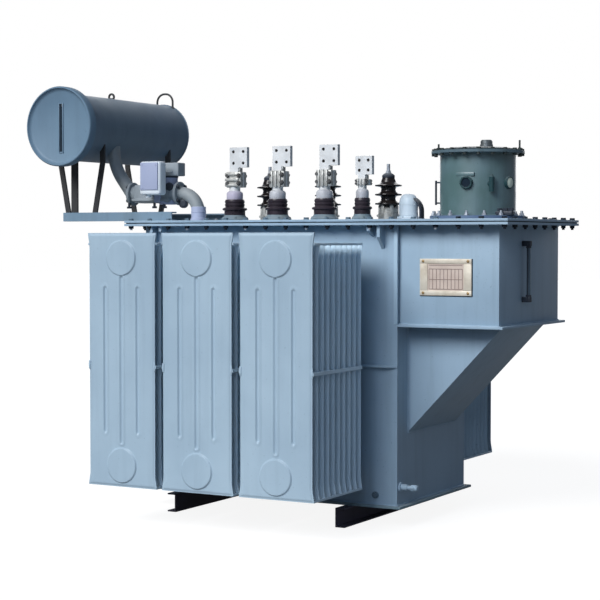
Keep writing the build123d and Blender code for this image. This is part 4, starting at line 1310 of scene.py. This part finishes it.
def tap_changer():
    """Housing with its glasses and fittings, the bolted flange, the lid, the base ring and its studs."""
    high = corners("tap_changer_head")[1]
    base_low, base_high = corners("tap_changer_base")
    lid_low, lid_high = corners("tap_changer_lid")
    axis = standing_on("tap_changer_base")
    foot = base_high.z - base_low.z
    height = high.z - base_low.z
    under = height - HEAD_FLANGE
    wall = HEAD_RADIUS
    body = bmesh.new()
    add_turning(body, ((0, foot), (wall, foot), (wall, under - 2), (wall + 2, under), (0, under)),
                axis, steps=96)
    add_round_weld(body, (axis.x, axis.y, base_high.z), UP, HEAD_RADIUS, 4)
    add_round_weld(body, (axis.x, axis.y, axis.z + under), UP, HEAD_RADIUS, 3.5)
    window = on_head(WINDOW_ANGLE, HEAD_RADIUS - 4, base_low.z + WINDOW_RISE)
    bracket = window + Vector((-46, -6, 27))
    add_block(body, bracket, bracket + Vector((80, 24, 15)), 2.5)
    piece("tap_changer_housing", body, HEAD_PAINT, ["tap_changer_head"])

    rings = bmesh.new()
    add_turning(rings, WINDOW_RING, window, outward(WINDOW_ANGLE), 40)
    side = on_head(SIDE_GLASS_ANGLE, HEAD_RADIUS - 4, base_low.z + WINDOW_RISE + 1)
    add_turning(rings, SIDE_RING, side, outward(SIDE_GLASS_ANGLE), 40)
    flange_bolts(rings, window, outward(WINDOW_ANGLE), 23, 4, 6, 0.3, 15)
    fitting = on_head(FITTING_ANGLE, HEAD_RADIUS - 3, base_low.z + WINDOW_RISE - 4)
    way = outward(FITTING_ANGLE)
    add_turning(rings, HEAD_OUTLET, fitting, way, 28)
    up = fitting + way * 18
    add_rod(rings, up + Vector((0, 0, -34)), up + Vector((0, 0, 26)), 11, 24)
    add_rod(rings, up + Vector((0, 0, 26)), up + Vector((0, 0, 38)), 11, 24, 3)
    piece("tap_changer_fittings", rings, HEAD_FITTING)
    turned_piece("tap_changer_window", ((0, 0), (19.5, 0), (19.5, 11), (0, 12.5)), window, DARK_GLASS,
                 axis=outward(WINDOW_ANGLE), steps=32)
    # The side glass is near white as painted reflection.
    turned_piece("tap_changer_side_glass", ((0, 0), (21, 0), (21, 13), (13, 16), (0, 17)), side,
                 GLASS_PAINTED_REFLECTION, axis=outward(SIDE_GLASS_ANGLE), steps=32)

    edge = HEAD_FLANGE_RADIUS
    turned_piece("tap_changer_flange", ((0, under), (edge - 2, under), (edge, under + 1.5),
                                        (edge, height - 1.5), (edge - 2, height), (0, height)),
                 axis, FLANGE_PAINT, steps=96)
    fixings = bmesh.new()
    for x, y, angle in around(FLANGE_FIXINGS, FLANGE_FIXING_CIRCLE, 0.1):
        add_hex(fixings, (axis.x + x, axis.y + y, high.z), UP, 15, 8, angle)
        add_hex(fixings, (axis.x + x, axis.y + y, axis.z + under), DOWN, 15, 9, angle)
    for angle, rise in RODS:
        spot = on_head(angle, ROD_RADIUS, high.z)
        add_rod(fixings, spot, spot + Vector((0, 0, rise)), 4, 12)
        add_hex(fixings, spot, UP, 14, 9)
    piece("tap_changer_flange_fixings", fixings, DARK_FLANGE)

    turned_piece("tap_changer_lid_dome", LID_DOME, (axis.x, axis.y, lid_low.z), LID_PAINT,
                 ["tap_changer_lid"], steps=96)
    cap_low = lid_low.z + 14
    cap_top = lid_high.z - cap_low
    turned_piece("tap_changer_cap", ((0, 0), (27, 0), (27, 12), (25, 14), (25, cap_top - 7),
                                     (21, cap_top - 1), (0, cap_top)),
                 (axis.x + LID_CAP_OFFSET, axis.y, cap_low), CAP_METAL, steps=32)
    # The base ring's darker paint is painted shade.
    turned_piece("tap_changer_base_ring", BASE_RING, axis, BASE_RING_PAINTED_SHADE,
                 ["tap_changer_base"], steps=96)
    studs = bmesh.new()
    for x, y, angle in around(BASE_STUDS, BASE_STUD_CIRCLE, 0.15):
        spot = axis + Vector((x, y, foot))
        add_disc(studs, spot, UP, 11, 2)
        add_hex(studs, spot + Vector((0, 0, 2)), UP, 16, 8, angle)
        add_rod(studs, spot, spot + Vector((0, 0, 20)), 5, 12)
    piece("tap_changer_studs", studs, ZINC)
    rods = bmesh.new()
    left = on_head(SIDE_ROD_ANGLE, SIDE_ROD_RADIUS, 0)
    add_rod(rods, (left.x, left.y, base_low.z + 62), (left.x, left.y, base_low.z + 164), 4.5, 14)
    for z in (70, 156):
        spot = on_head(SIDE_ROD_ANGLE, HEAD_RADIUS - 4, base_low.z + z)
        add_rod(rods, spot, (left.x, left.y, spot.z), 3.5, 10)
    clump = on_head(62, 180, base_high.z)
    add_block(rods, clump + Vector((-40, -18, 0)), clump + Vector((34, 18, 16)), 3)
    for x in (-26, 0, 24):
        add_hex(rods, clump + Vector((x, -2, 16)), UP, 20, 13, x)
    piece("tap_changer_rods", rods, DARK_CASTING)


# Nameplate and level gauge

PLATE_SIDE = 34
PLATE_END = 20
PLATE_COLUMNS = 9


def nameplate():
    """A framed plate with its screws; the lines on it are plain rules with no words."""
    low, high = corners("nameplate")
    frame_piece = bmesh.new()
    back, front = high.y, low.y
    for x0, x1, z0, z1 in (
            (low.x, high.x, low.z, low.z + PLATE_END), (low.x, high.x, high.z - PLATE_END, high.z),
            (low.x, low.x + PLATE_SIDE, low.z + PLATE_END, high.z - PLATE_END),
            (high.x - PLATE_SIDE, high.x, low.z + PLATE_END, high.z - PLATE_END)):
        add_block(frame_piece, (x0, front - 4, z0), (x1, back, z1), 1.5)
    piece("nameplate_frame", frame_piece, FRAME_METAL, ["nameplate"])
    sheet = bmesh.new()
    add_block(sheet, (low.x + 6, front - 1, low.z + 6), (high.x - 6, back, high.z - 6),
              0.5, 1)
    piece("nameplate_sheet", sheet, PLATE_METAL)
    rules = bmesh.new()
    inner_x0, inner_x1 = low.x + PLATE_SIDE + 6, high.x - PLATE_SIDE - 6
    inner_z0, inner_z1 = low.z + PLATE_END + 6, high.z - PLATE_END - 6
    face = front - 1.8
    for index in range(PLATE_COLUMNS + 1):
        x = inner_x0 + (inner_x1 - inner_x0) * index / PLATE_COLUMNS
        add_block(rules, (x - 1.2, face, inner_z0), (x + 1.2, front, inner_z1 - 16))
    for share in (0.0, 0.4, 0.84, 1.0):
        z = inner_z0 + (inner_z1 - inner_z0) * share
        add_block(rules, (inner_x0, face, z - 1.3), (inner_x1, front, z + 1.3))
    piece("nameplate_rules", rules, RULE_INK)
    # Dark strips along the plate's bottom and right edge: painted shadow of the plate.
    edges = bmesh.new()
    add_block(edges, (low.x - 1, front, low.z - 3), (high.x + 3, back, low.z), 0.8, 1)
    add_block(edges, (high.x, front, low.z - 3), (high.x + 3, back, high.z), 0.8, 1)
    piece("nameplate_shadow_edge", edges, GASKET_AND_PAINTED_SHADOW)
    screws = bmesh.new()
    for x in (low.x + 15, high.x - 15):
        for z in (low.z + 10, high.z - 10):
            add_turning(screws, [(0, 0), (6, 0), (5.5, 2.2), (3, 3.4), (0, 3.6)],
                        (x, front - 4, z), FRONT, 20)
    piece("nameplate_screws", screws, BRASS)


def level_gauge():
    """Glass tube with a guard on each side, between two gland blocks."""
    low, high = corners("level_gauge")
    middle = centre("level_gauge")
    tube_x = high.x - 11
    blocks = bmesh.new()
    for z, way in ((low.z, 1), (high.z, -1)):
        add_block(blocks, (low.x, middle.y - 11, min(z, z + way * 22)),
                  (high.x, middle.y + 11, max(z, z + way * 22)), 2.5)
        add_hex(blocks, (tube_x, middle.y, z + way * 20), (0, 0, way), 20, 10)
    for offset in (-10, 10):
        add_rod(blocks, (tube_x, middle.y + offset, low.z + 8),
                (tube_x, middle.y + offset, high.z - 8), 2.4, 10)
    piece("level_gauge_glands", blocks, DARK_CASTING, ["level_gauge"])
    tube = bmesh.new()
    add_rod(tube, (tube_x, middle.y, low.z + 20), (tube_x, middle.y, high.z - 20), 8, 28)
    piece("level_gauge_tube", tube, GLASS_TUBE)


# CAD nodes that stay take these finishes

FINISHES = {
    "base_channel_left": SKID_PAINT, "base_channel_right": SKID_PAINT,
    "tank_body": TANK_PAINT, "tank_rim_flange": TANK_PAINT, "rim_gasket": GASKET_AND_PAINTED_SHADOW,
    "lifting_lugs": TANK_PAINT, "radiator_valves_front": TANK_PAINT, "radiator_valves_rear": TANK_PAINT,
    "conservator_shell": DRUM_PAINT, "conservator_front_end": DRUM_PAINT,
    "conservator_rear_end": DRUM_PAINT, "conservator_beams": BEAM_PAINT, "conservator_legs": LEG_PAINT,
}
for terminal in ("lv_terminal_1", "lv_terminal_2", "lv_terminal_3", "neutral_terminal"):
    FINISHES[terminal] = TINNED


def dress_nodes():
    for name, material in FINISHES.items():
        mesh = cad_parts[name].data
        mesh.materials.clear()
        mesh.materials.append(material)


plate_from("cover_plate", TANK_PAINT)
plate_from("base_plate", BASE_PAINT)
plate_from("tap_box_ledge", TANK_PAINT)
plate_from("tap_changer_box", TANK_PAINT, 2.5)
rim_bolts()
tank_seams()
hopper()
stiffener_bars()
wall_fittings()
conservator_details()
beam_bolts()
oil_pipes()
gas_relay()
terminal_box()
for number in (1, 2, 3):
    lv_bushing(f"lv_bushing_{number}", f"lv_terminal_{number}", 1, number > 1)
    hv_bushing(number)
lv_bushing("neutral_bushing", "neutral_terminal", 0.76, True)
relief_valve()
tap_changer()
nameplate()
level_gauge()
dress_nodes()


# Floor, light and camera

AMBIENT = 0.12
AMBIENT_TONE = (0.72, 0.92, 1.26)
GLOSSY_SHARE = 0.1
FLOOR_SIZE = 40
FLOOR_TONE = 0.2
FLOOR_GLOW = 0.9
KEY_STRENGTH = 3.02
KEY_SPREAD = 30
KEY_FROM_LEFT = 15
KEY_ABOVE = 35
FILL_STRENGTH = 0.45
FILL_SPREAD = 34
FILL_FROM_LEFT = -12
FILL_ABOVE = 26
FILL_TONE = (0.8, 0.95, 1.2)
BACK_STRENGTH = 1.4
BACK_SPREAD = 50
BACK_FROM_LEFT = 158
BACK_ABOVE = 12


def seen_share(tree):
    """1 for what the camera or glass looks at, and a small share of it in reflections."""
    path = add_node(tree, "ShaderNodeLightPath")
    camera_ray, glass_ray = path.outputs["Is Camera Ray"], path.outputs["Is Transmission Ray"]
    looked = calculate(tree, "MAXIMUM", camera_ray, glass_ray)
    mirrored = calculate(tree, "MULTIPLY", path.outputs["Is Glossy Ray"], GLOSSY_SHARE)
    return calculate(tree, "MAXIMUM", looked, mirrored)


def backdrop_world():
    """White where the camera or a reflection looks, and a soft ambient light elsewhere."""
    world = bpy.data.worlds.new("studio")
    bpy.context.scene.world = world
    world.use_nodes = True
    tree = world.node_tree
    background = tree.nodes["Background"]
    ambient = (*(AMBIENT * share for share in AMBIENT_TONE), 1)
    tree.links.new(mix_colour(tree, seen_share(tree), ambient, (1, 1, 1, 1)), background.inputs["Color"])


def floor():
    """A wide pale floor that glows only where it is seen, and keeps the shadow."""
    bm = bmesh.new()
    bmesh.ops.create_grid(bm, x_segments=1, y_segments=1, size=FLOOR_SIZE)
    mesh = bpy.data.meshes.new("floor")
    bm.to_mesh(mesh)
    bm.free()
    obj = bpy.data.objects.new("floor", mesh)
    bpy.context.scene.collection.objects.link(obj)
    material = bpy.data.materials.new("pale floor")
    material.use_nodes = True
    tree = material.node_tree
    diffuse = tree.nodes["Principled BSDF"]
    diffuse.inputs["Base Color"].default_value = (FLOOR_TONE, FLOOR_TONE, FLOOR_TONE, 1)
    diffuse.inputs["Roughness"].default_value = 0.9
    diffuse.inputs["Specular IOR Level"].default_value = 0.0
    glow = add_node(tree, "ShaderNodeEmission")
    glow.inputs["Color"].default_value = (1, 1, 1, 1)
    tree.links.new(calculate(tree, "MULTIPLY", seen_share(tree), FLOOR_GLOW), glow.inputs["Strength"])
    both = add_node(tree, "ShaderNodeAddShader")
    tree.links.new(diffuse.outputs[0], both.inputs[0])
    tree.links.new(glow.outputs[0], both.inputs[1])
    tree.links.new(both.outputs[0], tree.nodes["Material Output"].inputs["Surface"])
    mesh.materials.append(material)


def sun(name, from_left, above, strength, spread_angle, colour=(1, 1, 1)):
    """A soft distant lamp, turned from the front to the left and raised by angles in degrees."""
    across, height = math.radians(from_left), math.radians(above)
    level = math.cos(height)
    direction = (math.sin(across) * level, math.cos(across) * level, -math.sin(height))
    lamp = bpy.data.lights.new(name, "SUN")
    lamp.energy = strength
    lamp.angle = math.radians(spread_angle)
    lamp.color = colour
    obj = bpy.data.objects.new(name, lamp)
    obj.rotation_euler = Vector(DOWN).rotation_difference(Vector(direction)).to_euler()
    bpy.context.scene.collection.objects.link(obj)


def camera():
    data = bpy.data.cameras.new("camera")
    data.sensor_width = SENSOR_WIDTH
    data.lens = FOCAL_PIXELS / PHOTO_SIZE * SENSOR_WIDTH
    obj = bpy.data.objects.new("camera", data)
    obj.location = CAMERA_PLACE
    obj.rotation_euler = (math.radians(90 + CAMERA_TILT), 0, math.radians(CAMERA_TURN))
    bpy.context.scene.collection.objects.link(obj)
    bpy.context.scene.camera = obj


backdrop_world()
floor()
sun("key", KEY_FROM_LEFT, KEY_ABOVE, KEY_STRENGTH, KEY_SPREAD)
sun("fill", FILL_FROM_LEFT, FILL_ABOVE, FILL_STRENGTH, FILL_SPREAD, FILL_TONE)
sun("back", BACK_FROM_LEFT, BACK_ABOVE, BACK_STRENGTH, BACK_SPREAD)
camera()
bpy.context.scene.view_settings.view_transform = "Standard"
